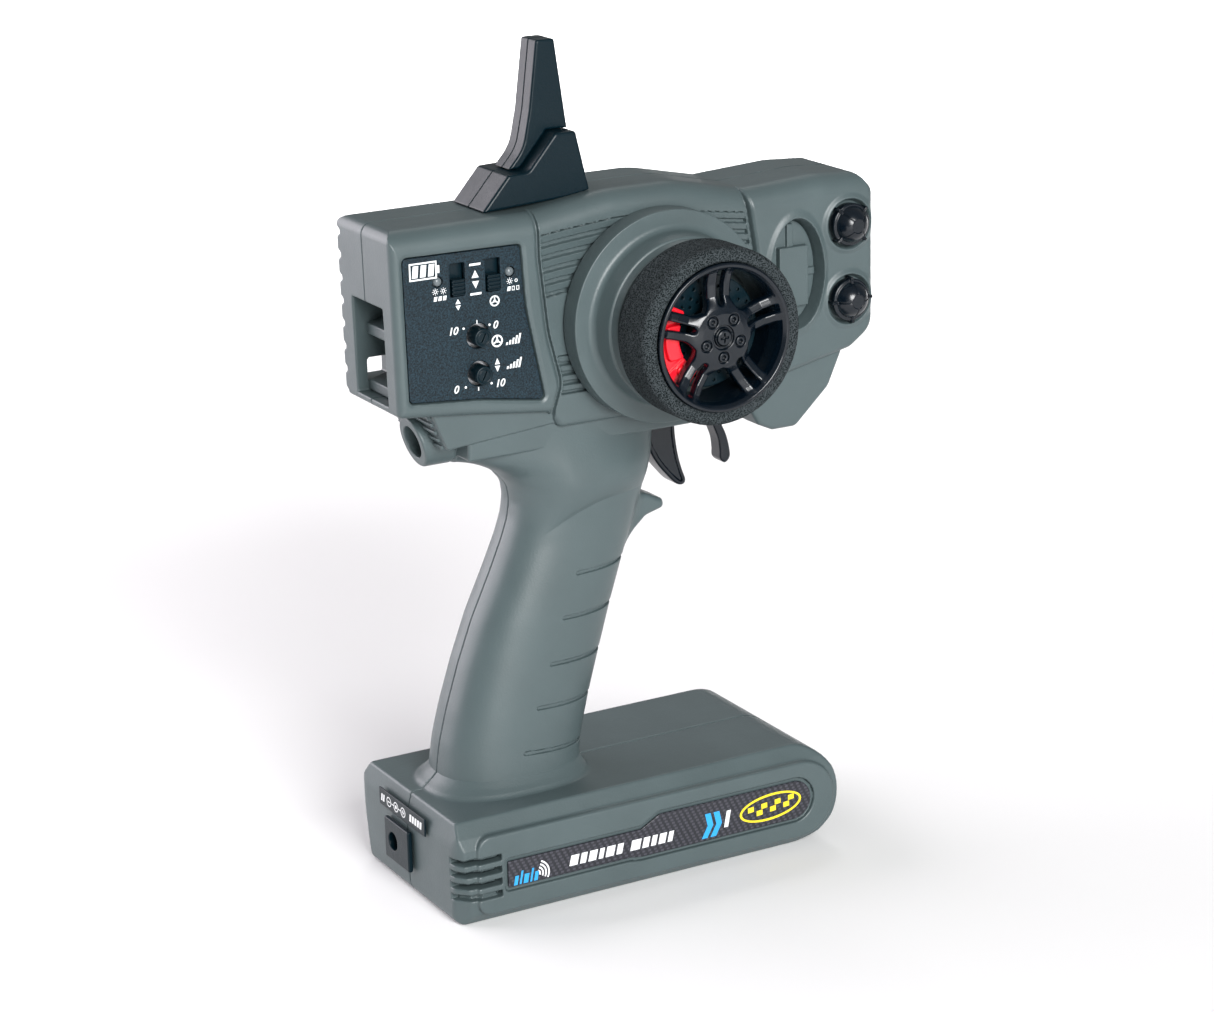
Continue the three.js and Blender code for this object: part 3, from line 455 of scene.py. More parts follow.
GRIP_LEVELS = [
    (30, -62.5, -10.8, 20), (34, -62, -10.6, 19.6), (43.7, -61, -10.4, 19), (50.8, -59.9, -9, 18.6),
    (61.7, -57, -6.2, 18.2), (77, -52, -1.5, 17.6), (91.7, -46.3, 3, 17.2), (106, -39.4, 7.8, 16.8),
    (117, -34.5, 11.8, 16.4), (124, -32, 14.3, 16.5), (130, -31, 16.4, 17), (135.5, -31.8, 17.9, 17.4),
    (141, -36.5, 19.6, 17.2), (146.5, -47, 20.8, 16.8), (152, -51, 21.6, 16.6), (161, -51.6, 22.6, 16.4)]
GRIP_AT = smooth_table(GRIP_LEVELS, 3.0)


def ribs(z, top, pitch, count, depth):
    """How deep shingled ribs below a top line cut in: least at each upper edge, most at the gap below it."""
    fall = (top - z) / pitch
    phase = fall - np.floor(fall)
    gap = np.maximum(1 - ramp(phase, 0.0, 0.13), ramp(phase, 0.60, 0.72))
    cut_in = depth * np.maximum(0.45 * phase, gap)
    return np.where((fall > 0) & (fall < count), cut_in, 0)


def rib_relief(x, z, side):
    top = np.interp(x, *RIB_TOP)
    pitch = 4.1 - 0.55 * ramp(x, 12, 30)
    upper = ribs(z, top, pitch, np.where((x > 22) & (side == RIGHT), 3, 5), 1.8)
    lower = ribs(z, 181.1, 3.25, 4, 1.6) * (x < 0)
    return ramp(-MIDDLE(x, z), 1.8, 2.1) * np.where(z > 190, upper, lower)


RIB_TOP = ((-28, -19.5, 0, 14, 24, 36, 50), (220.8, 221.8, 223.5, 223.7, 222.9, 221.1, 219.2))


def side_relief(x, z, side):
    """How far the head's side stands out from its plain plane."""
    middle = MIDDLE(x, z)
    relief = -MID_RECESS * ramp(-middle, -0.3, 0.3)
    relief = relief - 1.5 * ridge(middle, -0.7, 0.35, 0.35)
    # soft edges on both sides of the seams
    relief = relief - 0.6 * (1 - ramp(middle, 0.0, 1.4)) * ramp(middle, -0.2, 0.0)
    if side == RIGHT:
        pocket = PANEL_OUTLINE(x, z)
        relief = relief - 0.5 * (1 - ramp(pocket, 0.0, 1.5)) * ramp(pocket, -0.2, 0.0)
        relief = relief - 2.6 * ramp(-pocket, -0.25, 0.25)
        for dish_z in TRIM_Z:
            reach = np.hypot(x - TRIM_X, z - dish_z)
            relief = relief + 0.9 * (1 - ramp(reach, 8.6, 10.6)) - 2.6 * (1 - ramp(reach, 7.5, 8.7))
        oval = ellipse(x, z, OVAL[:2], OVAL[2], OVAL[3])
        relief = relief + 0.8 * (1 - ramp(oval, 0.6, 2.6)) - 7.2 * (1 - ramp(oval, -0.2, 0.7))
    return relief


def head_field(side, x, y, z):
    across = side * y
    width = across - HEAD_HALF - side_relief(x, z, side)
    outline = HEAD_OUTLINE(x, z)
    crown = CROWN_OUTLINE(x, z)
    shape = np.maximum(both(outline, width, 2.6), both(crown, width, 7.0))
    shape = shape + rib_relief(x, z, side)
    # the narrower body under the head, its flap plate, and the jaw
    under = both(both(slab(z, 150, 172), slab(x, -53, 30), 1), across - 16.4, 1.2)
    flap = both(FLAP(x, z), across - 17.2, 0.7)
    jaw_width = across - 17 + 0.16 * np.maximum(157 + 0.08 * (72 - x) - z, 0)
    jaw = both(JAW(x, z), jaw_width, 1.6)
    shape = union(union(union(shape, under), flap), jaw)
    fin = np.abs(np.mod(z - 154.6, 2.6) - 1.3) - 0.62
    fins = both(both(fin, slab(z, 154.6, 167.6), 0.3), slab(x, -66 + 0.42 * (166 - z), -56), 0.3)
    shape = union(shape, cut(np.maximum(fins, across - 14.5), tube(y, z, (0, TUBE_Z), 8.8)))
    shape = cut(shape, rear_recess(x, y, z), 0.5)
    if side == LEFT:
        shape = scalloped(shape, x, y, z)
        wells = [screw_well(number, x, y, z) for number in range(3)]
        shape = cut(shape, np.minimum(np.minimum(*wells[:2]), wells[2]), 0.3)
    shape = cut(shape, block(x, y, z, (13, 58, -5.5, 5.5, 120, 178)), 0.3)
    shape = cut(shape, shaft_and_wells(x, y, z), 0.2)
    return both(shape, SEAM - across, 0.25)


def rear_recess(x, y, z):
    pocket = block(x, y, z, (HEAD_REAR - 5, HEAD_REAR + 14.5, -12.5, 10, 171.5, 203), 0.6)
    window = block(x, y, z, (HEAD_REAR + 5, HEAD_REAR + 14.5, -12.5, 30, 174.5, 182), 0.6)
    return np.minimum(pocket, window)


def scalloped(shape, x, y, z):
    """Finger ridges along the rear left corner."""
    phase = (z - 170) / 7.5
    wave = np.abs(phase - np.floor(phase) - 0.5) * 2
    depth = 1.5 * ramp(wave, 0.45, 0.85)
    corner = ((HEAD_REAR - x) + (y - HEAD_HALF)) * math.sqrt(0.5) + 1.3 + depth
    return both(shape, corner, 0.8)


def screw_well(number, x, y, z):
    centre_x, centre_z, surface = SCREWS[number]
    return np.maximum(tube(x, z, (centre_x, centre_z), WELL_RADIUS), surface - WELL_DEPTH - y)


def shaft_and_wells(x, y, z):
    """Openings behind the wheel's cover, the panel's slots and the trim knobs."""
    wells = np.maximum(tube(x, z, WHEEL, 12), y + 10)
    for dish_z in TRIM_Z:
        wells = np.minimum(wells, np.maximum(tube(x, z, (TRIM_X, dish_z), 3.4), y + 10))
    window = PANEL_OUTLINE(x, z) + 2.6
    return np.minimum(wells, np.maximum(window, y + 10.5))


# ---- grip
GROOVES = ((-14.8, 106.2, 0.03), (-20.5, 91.8, 0.01), (-26.0, 76.8, -0.01), (-31.6, 62.7, -0.03),
        (-37.3, 48.0, -0.06))


def grip_field(side, x, y, z):
    across = np.abs(y)
    rear, front, half = GRIP_AT(z)
    middle, reach = (rear + front) / 2, (front - rear) / 2
    # the palm swell starts along an arch and grows upwards
    above = z - 130.7 + 0.0122 * np.minimum(x - 3.8, 0) ** 2
    swell = 2.4 * (1 - np.exp(-np.maximum(above, 0) / 4)) * (1 - ramp(-x, 16, 32)) * (1 - ramp(z, 134, 156))
    half = half + swell * ramp(across, 3, 9)
    p = 2.5
    radius = (np.abs((x - middle) / reach) ** p + (across / half) ** p) ** (1 / p)
    shape = (radius - 1) * np.minimum(half, reach)
    for start, height, slope in GROOVES:
        line = np.hypot(np.minimum(x - start, 0), z - height - slope * (x - start)) - 0.62
        shape = cut(shape, np.maximum(line, -(shape + 0.75)), 0.25)
    arm = tube(y, z, (0, TUBE_Z), TUBE_RADIUS) + 0.05 * np.maximum(x + 52, 0)
    shape = union(shape, both(arm, slab(x, -52.3, 10), 0.5), 4)
    spur = both(SPUR(x, z), across - 7 + 0.10 * np.maximum(x - 14, 0), 1.8)
    shape = union(shape, spur, 2.5)
    shape = cut(shape, block(x, y, z, (13, 58, -5.5, 5.5, 128.5, 178)), 0.4)
    shape = cut(shape, screw_well(3, x, y, z), 0.3)
    shape = both(shape, slab(z, 35, 161), 0)
    return both(shape, SEAM - side * y, 0.25)


SPUR = Outline([(4, 127), (15.0, 125.2, 2), (17.6, 125.4, 2), (24.2, 122.2, 1.4), (24.9, 119.3, 1.6),
        (17.2, 117.6, 4), (9.5, 111.5, 6), (4, 107)])

# ---- base
BASE_SIDE = Outline([(BASE_REAR + 0.6, 0, 4), (BASE_FRONT, 0, 17.5), (BASE_FRONT, BASE_TOP, 17.5),
        (BASE_REAR + 2.2, BASE_TOP, 1.5), (BASE_REAR, 27, 3)], 12)
BASE_SECTION = Outline([(-33.5, 0, 0.6), (-36, 3.5, 1), (-37.2, 9, 2), (-37.2, 27, 0.8), (-35.6, 30.8, 0.8),
        (-31.8, BASE_TOP, 0.6), (31.8, BASE_TOP, 0.6), (35.6, 30.8, 0.8), (37.2, 27, 0.8),
        (37.2, 9, 2), (36, 3.5, 1), (33.5, 0, 0.6)], 4)
BASE_PLAN = Outline([(BASE_REAR, -40, 9), (BASE_FRONT + 2.8, -40, 7), (BASE_FRONT + 2.8, 40, 7),
        (BASE_REAR, 40, 9)], 12)
PAD = Outline([(-66, 3.6, 5), (71, 3.6, 13.5), (71, 31, 13.5), (-66, 31, 5)], 12)
LABEL = Outline([(-55, 11.6, 0.6), (-10, 11.6, 2), (-5, 10.9, 2), (61.5, 10.9, 6.8), (61.5, 24.6, 6.8),
        (2, 24.6, 2), (-5, 20.8, 2), (-55, 20.8, 0.6)], 10)
COLLAR = smooth_table([(30, -66, -8.6, 22.6), (36.6, -66, -8.6, 22.6), (38.4, -63.6, -9.6, 20.8),
        (42, -60, -11, 18)], 1.0)


def base_field(side, x, y, z):
    across = side * y
    shape = both(BASE_SIDE(x, z), BASE_SECTION(y, z), 0.8)
    shape = both(shape, BASE_PLAN(x, y), 0.6)
    pad = both(PAD(x, z), across - SIDE_PAD, 0.9)
    shape = union(shape, both(pad, BASE_PLAN(x, y), 0.9), 0.5)
    # the rear corner is bevelled, wider towards the floor
    bevel = (BASE_REAR - x + across - 37.2) * math.sqrt(0.5) + 0.9 + 0.125 * (30.8 - z)
    shape = both(shape, bevel, 0.8)
    rear, front, half = COLLAR(z)
    middle, reach = (rear + front) / 2, (front - rear) / 2
    ring = (np.abs((x - middle) / reach) ** 2.5 + (np.abs(y) / half) ** 2.5) ** 0.4
    collar = both((ring - 1) * np.minimum(half, reach), slab(z, 30, 41), 0)
    shape = union(shape, collar, 1.6)
    if side == RIGHT:
        label = LABEL(x, z) - 1.3
        shape = cut(shape, np.maximum(label, SIDE_PAD - 1.3 - across), 0.5)
        for k in range(4):
            vent = np.abs(z - 10.5 - 4.2 * k) - 1.1
            vent = both(both(vent, x + 57.3, 0.3), 31 - across, 0.3)
            shape = cut(shape, np.maximum(vent, -(shape + 2.6)), 0.5)
    else:
        shape = cut(shape, screw_well(4, x, y, z), 0.3)
    shape = cut(shape, block(x, y, z, (BASE_REAR - 5, BASE_REAR + 12, 1.7, 13.3, 10.7, 21.3)), 0.2)
    shape = cut(shape, block(x, y, z, (-36, 90, -31.3, 31.3, -5, 2.3)), 0.2)
    shape = cut(shape, np.maximum(slab(x, -36, 90), np.maximum(z - 1.5, 34.6 - across)), 0.2)
    return both(shape, SEAM - across, 0.25)


def housing(name, side, fine, node):
    low_y, high_y = (-42, 0) if side == RIGHT else (0, 42)
    head_y = (-24, 0) if side == RIGHT else (0, 24)
    parts = [
        (partial(head_field, side), (-81, head_y[0], 141), (100, head_y[1], 233), fine),
        (partial(grip_field, side), (-68, head_y[0], 34), (30, head_y[1], 162), fine * 1.1),
        (partial(base_field, side), (-76, low_y, -0.5), (77, high_y, 42), fine * 1.3),
    ]
    carve_parts(name, "body", "body_gray", node, parts)


FINE = 1.0
housing("housing_shell_right", RIGHT, 0.4, "housing_right")
housing("housing_shell_left", LEFT, 0.65, "housing_left")


# ---- turned pieces
def turned(name, profile, centre, slot, node, segments=144):
    """A closed (radius, y) profile turned about the Y axis through centre."""
    points, faces = [], []
    count = len(profile)
    for i in range(segments):
        angle = 2 * math.pi * i / segments
        c, s = math.cos(angle), math.sin(angle)
        points += [(centre[0] + radius * c, y, centre[1] + radius * s) for radius, y in profile]
    for i in range(segments):
        for k in range(count):
            a, b = i * count + k, i * count + (k + 1) % count
            c, d = (i + 1) % segments * count + (k + 1) % count, (i + 1) % segments * count + k
            faces.append((a, b, c, d))
    piece = mesh_object(name, points, faces)
    bm_fix(piece)
    return finish_piece(piece, "body", slot, (node,))


def bm_fix(piece):
    """Merges points on the axis, turns faces outwards and keeps edges over SHARP degrees sharp."""
    bm = bmesh.new()
    bm.from_mesh(piece.data)
    bmesh.ops.remove_doubles(bm, verts=bm.verts, dist=1e-7)
    bmesh.ops.recalc_face_normals(bm, faces=bm.faces)
    bm.to_mesh(piece.data)
    bm.free()
    piece.data.set_sharp_from_angle(angle=math.radians(SHARP))


turned("steering_drum", rounded([
    (6.6, -40, 0.2), (26.4, -40, 0.3), (27.0, -37.2, 0.3), (27.8, -37.0, 0.8), (28.3, -30.5),
        (28.8, -28.2, 2.2),
    (35, -28.1, 0.4), (35, -20.5, 0.3), (32.8, -20.5, 0.3), (32.8, -26, 0.3), (26.4, -26.8, 0.3),
    (26.4, -37, 0.2), (6.6, -37.8, 0.2)], 5),
    WHEEL, "body_gray", "steering_cover")


# ---- steering wheel
def around(x, z, centre=WHEEL):
    dx, dz = x - centre[0], z - centre[1]
    return np.hypot(dx, dz), np.arctan2(dz, dx)


def folded(reach, angle, count, start):
    """Coordinates along and across the nearest of evenly spaced spokes, one at start degrees."""
    sector = 2 * math.pi / count
    turn = np.mod(angle - math.radians(start) + sector / 2, sector) - sector / 2
    return reach * np.cos(turn), reach * np.sin(turn)


RIM_BARREL = Outline([(23.3, -44, 0.3), (23.3, -60.4, 0.3), (24.0, -61.2, 0.5), (23.6, -62.2, 0.5),
        (22.6, -62.1, 0.5),
        (21.7, -60.9, 0.8), (21.2, -58.6, 1), (20.9, -54, 2), (20.9, -44, 0.3)], grid=0.15)


RIM_FACE = ((0, 7.6, 9.5, 13, 17, 20, 22), (-60.9, -60.9, -60.5, -59.0, -59.2, -60.2, -61.4))


def rim_field(x, y, z):
    reach, angle = around(x, z)
    along, over = folded(reach, angle, 5, 90)
    over = np.abs(over)
    flat = union(reach - 9.8, both(over - 4.0 - 0.045 * (along - 9), slab(along, 2, 23)), 3.6)
    slot = both(over - 1.05 - 0.04 * (along - 10), 9.9 - along, 1.0)
    flat = cut(flat, slot, 0.3)
    face = np.interp(reach, *RIM_FACE) + 0.9 * ramp(reach, 10, 13) * ramp(over, 1.0, 5.0)
    star = both(flat, both(face - y, y - face - 3.4, 0), 0.8)
    spread, lateral = folded(reach, angle, 5, 54)
    lug = np.hypot(spread - 6.5, lateral)
    star = cut(star, np.maximum(lug - 2.0, y + 60.0), 0.25)
    star = union(star, both(lug - 1.55, slab(y, -60.9, -58), 0.3), 0.1)
    star = cut(star, np.maximum(lug - 0.75, y + 59.7), 0.15)
    hub = np.maximum(reach - 7, slab(y, -59, -47))
    star = cut(star, np.maximum(reach - 3.9, y + 60.0), 0.3)
    collar = both(reach - 3.1, slab(y, -61.2, -58), 0.35)
    shape = union(union(union(star, RIM_BARREL(reach, y), 0.7), hub, 0.5), collar, 0.2)
    return cut(shape, np.maximum(reach - 2.75, slab(y, -70, -40)), 0.2)


def hub_screw_field(x, y, z):
    reach, _ = around(x, z)
    head = both(reach - 2.5, slab(y, -61.6, -57.6), 0.5)
    shape = np.minimum(head, np.maximum(reach - 1.4, slab(y, -58, -47.8)))
    cross = np.minimum(np.maximum(np.abs(x - WHEEL[0]) - 0.32, np.abs(z - WHEEL[1]) - 1.5),
            np.maximum(np.abs(z - WHEEL[1]) - 0.32, np.abs(x - WHEEL[0]) - 1.5))
    return cut(shape, np.maximum(cross, y + 60.6), 0.15)


TYRE_PROFILE = Outline([(24.0, -60.7, 0.4), (24.6, -61.2, 0.5), (28.6, -61.2, 2.6), (28.6, -42.6, 2.6),
        (23.9, -42.6, 1)], 10, grid=0.15)


def tyre_field(x, y, z):
    reach, _ = around(x, z)
    rough = np.sin(9.1 * x + 3.7 * y) * np.sin(8.3 * z - 2.9 * y) + np.sin(5.3 * x - 6.1 * z + 4.3 * y)
    return TYRE_PROFILE(reach, y) - 0.05 * rough


def disc_field(x, y, z):
    reach, angle = around(x, z)
    shape = both(both(reach - 18.2, 7.5 - reach, 0.2), slab(y, -50.4, -49.2), 0.2)
    for radius, start in ((10.2, 0), (12.4, 9), (14.6, 0), (16.6, 9)):
        along, over = folded(reach, angle, 20, start)
        shape = cut(shape, np.hypot(along - radius, over) - 0.5, 0.1)
    return shape


def caliper_field(x, y, z):
    reach, angle = around(x, z)
    degrees = np.mod(np.degrees(angle), 360) - 193
    span = (np.abs(degrees) - 54) * np.radians(1) * reach
    shape = both(both(slab(reach, 12, 19.8), span + 0.25 * (reach - 12), 1.2), slab(y, -53.2, -50.8), 0.5)
    centre = (np.abs(degrees + 8) - 27) * np.radians(1) * reach
    pad = both(both(slab(reach, 12.4, 17.4), centre + 0.5 * (reach - 12.4), 1.2), slab(y, -54.8, -52), 0.6)
    shape = union(shape, pad, 0.5)
    for place in (-42, 30):
        bolt = np.hypot(reach - 15.6, (degrees - place) * np.radians(1) * 15.6)
        shape = union(shape, both(bolt - 1.5, slab(y, -54.4, -52), 0.3), 0.2)
        shape = cut(shape, np.maximum(bolt - 0.6, y + 53.6), 0.1)
    groove = np.abs(degrees - 21) * np.radians(1) * reach - 0.35
    return cut(shape, np.maximum(groove, y + 52.4), 0.2)


carve("steering_wheel", "wheel", "gloss_black", "wheel_rim", rim_field, (-9, -62.4, 166), (40, -43.8, 215),
        0.26)
carve("hub_cap_screw", "wheel", "gloss_black", "hub_screw", hub_screw_field, (12, -62, 187), (19, -47.5, 194),
        0.16)
tyre = carve("foam_tyre_skin", "wheel", "foam", "foam_tyre", tyre_field, (-14, -61.6, 161), (45, -42, 220),
        0.45)
carve("drilled_disc", "wheel", "satin_black", "brake_disc", disc_field, (-4, -50.6, 171), (35, -49, 210),
        0.25)
carve("red_caliper", "wheel", "red_plastic", "brake_caliper", caliper_field, (-6, -55.2, 169),
        (12, -50.4, 207), 0.2)


# ---- trigger
def curved(points, steps=6):
    """An outline through (u, v) points as one smooth closed curve."""
    result = []
    count = len(points)
    for i in range(count):
        a, b, c, d = (np.array(points[(i + k) % count], float) for k in (-1, 0, 1, 2))
        for s in range(steps):
            t = s / steps
            result.append(tuple(0.5 * ((2 * b) + (c - a) * t + (2 * a - 5 * b + 4 * c - d) * t ** 2
                    + (3 * b - a - 3 * c + d) * t ** 3)))
    return result


BLADE = Outline(curved([(19.8, 152), (18.8, 147.5), (18.8, 143.2), (20.3, 139.4), (23.2, 134.2),
        (27.2, 129.2), (30.4, 126), (33, 125.3), (34.1, 127), (32.9, 130.6), (31.5, 135.5), (30.6, 141),
        (30.2, 147), (31, 153), (31, 160), (22, 160)]), grid=0.15)
HOOK = Outline(curved([(44.2, 147), (46.2, 142.4), (47.7, 138.4), (48.2, 134.4), (48.3, 131.6), (50.2, 129.9),
        (52.1, 131.6), (52.1, 134.6), (50.9, 139.6), (48.9, 144.2), (46.6, 150), (42, 160), (36, 160),
        (40, 154)]), grid=0.15)


def trigger_field(x, y, z):
    across = np.abs(y)
    shape = both(BLADE(x, z), across - 4.5, 1.3)
    shape = cut(shape, np.maximum(BLADE(x, z) + 1.5, 3.7 - across), 0.4)
    shape = union(shape, both(HOOK(x, z), across - 3.6, 1.2), 1)
    top = both(slab(x, 19.6, 45), slab(z, 153, 174), 3)
    shape = union(shape, both(both(top, 0.9 * (x - 31) + (z - 166) - 10, 2), across - 4.5, 1), 2)
    return cut(shape, tube(x, z, (31, 167), 1.8), 0.2)


carve("throttle_trigger", "trigger", "gloss_black", "trigger", trigger_field, (17, -4.7, 124), (54, 4.7, 175),
        0.38)


# ---- antenna
AERIAL_BASE = Outline([(-42.4, HEAD_TOP + 0.3, 0.5), (-32.6, 239.4, 1.5), (-25.5, 239.6, 3),
        (-15.6, 251, 1.5), (-8.2, 251, 1.2), (-3.4, 230.5, 0.4)], grid=0.15)
AERIAL_BLADE = Outline([(-18.6, 280, 1), (-12, 280, 1), (-8.2, 251.2), (-15.9, 251.2), (-25.7, 239.9, 3),
        (-29.6, 239.9), (-24.2, 246, 14), (-21.6, 258, 30)], grid=0.15)


def aerial_field(outline, half, soft, side, x, y, z):
    shape = both(outline(x, z), np.abs(y) - half, soft)
    shape = cut(shape, HEAD_OUTLINE(x, z) - 0.25, 0)
    return both(shape, SEAM - side * y, 0.2)


for side, word in ((RIGHT, "right"), (LEFT, "left")):
    y = (-11.2, 0) if side == RIGHT else (0, 11.2)
    carve(f"aerial_base_{word}", "body", "satin_black", f"antenna_base_{word}",
            partial(aerial_field, AERIAL_BASE, 11, 1.0, side), (-43, y[0], 228), (-3, y[1], 252), 0.4)
    carve(f"aerial_blade_{word}", "body", "satin_black", f"antenna_blade_{word}",
            partial(aerial_field, AERIAL_BLADE, 5.3, 0.8, side), (-30, y[0] / 2, 239.5), (-8, y[1] / 2, 281),
            0.35)


# ---- trim knobs
def trim_knob_field(place_z, start, x, y, z):
    reach, angle = around(x, z, (TRIM_X, place_z))
    along, over = folded(reach, angle, 4, start)
    skirt = both(reach - 6.9 + 0.08 * (y + 19.3), slab(y, -22.9, -19.3), 0.6)
    dome = both(np.hypot(reach, y + 21.3) - 6.25, y + 20, 0.3)
    tab = both(both(np.abs(over) - 0.5, slab(along, 5.6, 7.9), 0.3), slab(y, -23.7, -19.8), 0.4)
    shape = union(union(skirt, dome, 0.25), tab, 0.2)
    seam = np.maximum(np.abs(over) - 0.16, np.maximum(2.2 - along, y + 23.4))
    shape = cut(shape, np.maximum(seam, -(shape + 0.25)), 0.1)
    dimple = np.maximum(reach - 2.3, y + 26.75)
    shape = cut(shape, dimple, 0.25)
    return union(shape, np.maximum(reach - 2.6, slab(y, -20, -16.6)), 0.2)


for name, place_z, start in (("steering", TRIM_Z[0], 43), ("throttle", TRIM_Z[1], 2)):
    carve(f"trim_dial_{name}", f"trim_{name}", "gloss_black", f"trim_knob_{name}",
            partial(trim_knob_field, place_z, start), (TRIM_X - 8.6, -28, place_z - 8.6),
            (TRIM_X + 8.6, -16.4, place_z + 8.6), 0.2)


# ---- control panel
PLATE_OUTLINE = Outline([(-75.1, 219.6, 1.4), (-34.3, 219.1, 1.4), (-33.1, 199, 60), (-27.1, 168, 1.4),
        (-50, 171.6, 60), (-74.4, 173.6, 1.4)])


def plate_field(x, y, z):
    shape = both(PLATE_OUTLINE(x, z), slab(y, PANEL_Y, PANEL_Y + 1.6), 0.25)
    for slot_x in SLIDER_X.values():
        slot = both(slab(x, slot_x - 2.6, slot_x + 2.6), slab(z, 205.5, 216.1), 0.5)
        shape = cut(shape, slot, 0.25)
    for knob_z in DUAL_RATE_Z:
        shape = cut(shape, tube(x, z, (DUAL_RATE_X, knob_z), 4.0), 0.3)
    for lamp_x in LAMPS.values():
        shape = cut(shape, tube(x, z, (lamp_x, LAMP_Z), 1.75), 0.15)
    return shape


carve("panel_face", "body", "panel_black", "panel_plate", plate_field, (-75.6, -20.1, 167),
        (-26.6, -18.1, 220.2), 0.36)


def slider_field(slider_x, x, y, z):
    shape = both(both(slab(x, slider_x - 2.15, slider_x + 2.15), slab(z, 205.95, 211.05), 0.25),
            slab(y, -20.9, -17.6), 0.25)
    for k in range(4):
        shape = cut(shape, both(np.abs(z - 206.7 - 1.2 * k) - 0.28, y + 20.35, 0.1), 0.12)
    return shape


def dual_knob_field(knob_z, x, y, z):
    shape = both(tube(x, z, (DUAL_RATE_X, knob_z), 3.0), slab(y, -23.7, -17.4), 0.45)
    shape = cut(shape, np.abs(np.hypot(np.hypot(x - DUAL_RATE_X, z - knob_z) - 2.1, y + 23.7)) - 0.22, 0.1)
    tilt = math.radians(62)
    over = (x - DUAL_RATE_X) * math.sin(tilt) - (z - knob_z) * math.cos(tilt)
    along = (x - DUAL_RATE_X) * math.cos(tilt) + (z - knob_z) * math.sin(tilt)
    return cut(shape, np.maximum(np.maximum(np.abs(over) - 0.28, np.abs(along) - 1.6), y + 22.9), 0.12)


for name, slider_x in SLIDER_X.items():
    carve(f"reverse_thumb_{name}", f"reverse_{name}", "satin_black", f"reverse_slider_{name}",
            partial(slider_field, slider_x), (slider_x - 2.3, -21.1, 205.7), (slider_x + 2.3, -17.4, 211.3),
            0.17)
for name, knob_z in zip(("steering", "throttle"), DUAL_RATE_Z):
    carve(f"rate_dial_{name}", f"dual_rate_{name}", "satin_black", f"dual_rate_knob_{name}",
            partial(dual_knob_field, knob_z), (DUAL_RATE_X - 3.2, -23.9, knob_z - 3.2),
            (DUAL_RATE_X + 3.2, -17.2, knob_z + 3.2), 0.17)
for name, lamp_x in LAMPS.items():
    turned(f"{name}_lens", [(0, -20.35), (0.55, -20.3), (1.0, -20.1), (1.35, -19.75), (1.5, -19.3),
           (1.5, -14), (0, -14)], (lamp_x, LAMP_Z), "lamp_gray", name, 40)


# ---- oval recess, strap tube, charge socket, power switch
def insert_field(x, y, z):
    plate = both(ellipse(x, z, OVAL[:2], 9.6, 17.2), slab(y, -16.2, -14.9), 0.2)
    relief = block(x, y, z, (62.8, 74, -18.6, -15.5, 184.8, 205), 0.35)
    upright = block(x, y, z, (66.4, 68.7, -17.4, -15.5, 203, 212.6), 0.3)
    cross = block(x, y, z, (73, 77.1, -17.4, -15.5, 194.6, 197), 0.3)
    return union(union(plate, relief, 0.3), union(upright, cross), 0.3)


def strap_field(x, y, z):
    rear = -67.6 + 0.27 * (165 - z) - x
    shape = both(tube(y, z, (0, TUBE_Z), TUBE_RADIUS), np.maximum(rear, x + 52.4), 0.8)
    shape = cut(shape, np.maximum(tube(y, z, (0, TUBE_Z), 5.3), x + 55.4), 0.4)
    return cut(shape, np.abs(np.hypot(np.hypot(y, z - TUBE_Z) - 8.5, x + 53.3)) - 0.3, 0.15)


def socket_field(x, y, z):
    flange = block(x, y, z, (BASE_REAR - 1.9, BASE_REAR - 0.2, -4.2, 13.8, 8.8, 23.2), 0.5)
    barrel = block(x, y, z, (BASE_REAR - 1, BASE_REAR + 10, 2, 13, 11, 21), 0.3)
    shape = cut(np.minimum(flange, barrel), np.maximum(tube(y, z, (7.5, 16), 3.2), x - BASE_REAR - 8), 0.3)
    return np.minimum(shape, np.maximum(tube(y, z, (7.5, 16), 0.9), slab(x, BASE_REAR + 0.5, BASE_REAR + 9)))


def surround_field(x, y, z):
    back = HEAD_REAR + 14.2
    def ledge(low, high):
        top = both(slab(z, low, high), slab(x, back - 9.2, back), 0.4)
        return both(both(top, (z - high) + 0.25 * (back - 2.2 - x), 0.3), slab(y, -12.2, 9.7), 0.2)
    plate = both(both(slab(x, back - 1.6, back), slab(y, -12.2, 9.7), 0.2), slab(z, 171.8, 202.7), 0.2)
    slot = np.maximum(slab(y, -5, 3), slab(z, 178.6, 189.4))
    return cut(union(plate, union(ledge(190.2, 195.5), ledge(171.8, 177)), 0.3), slot, 0.3)


def power_thumb_field(x, y, z):
    thumb = both(both(slab(x, -72, -68.2), slab(y, -4.4, 2.4), 0.4), slab(z, 183, 188.6), 0.4)
    for k in (1, 2, 3):
        thumb = cut(thumb, both(np.abs(z - 183 - 1.4 * k) - 0.3, x + 71.3, 0.1), 0.15)
    return np.minimum(thumb, block(x, y, z, (-69, -66.9, -3, 1, 184.5, 187.4)))


carve("recess_relief", "body", "body_gray", "recess_insert", insert_field, (57.8, -18.8, 178.6),
        (78.2, -14.7, 214.2), 0.3)
carve("strap_holder", "body", "body_gray", "strap_tube", strap_field, (-68, -8.6, 146.3), (-52.1, 8.6, 163.7),
        0.3)
carve("charge_inlet", "body", "satin_black", "charge_socket", socket_field, (-75.2, -4.5, 8.5),
        (-62.5, 14.1, 23.5), 0.25)
carve("switch_bezel", "body", "body_gray", "switch_surround", surround_field, (-75, -12.5, 171.4),
        (-65, 10, 203), 0.35)
carve("power_thumb", "power_slider", "satin_black", "power_slider", power_thumb_field, (-72.2, -4.6, 182.8),
        (-66.7, 2.6, 188.8), 0.18)


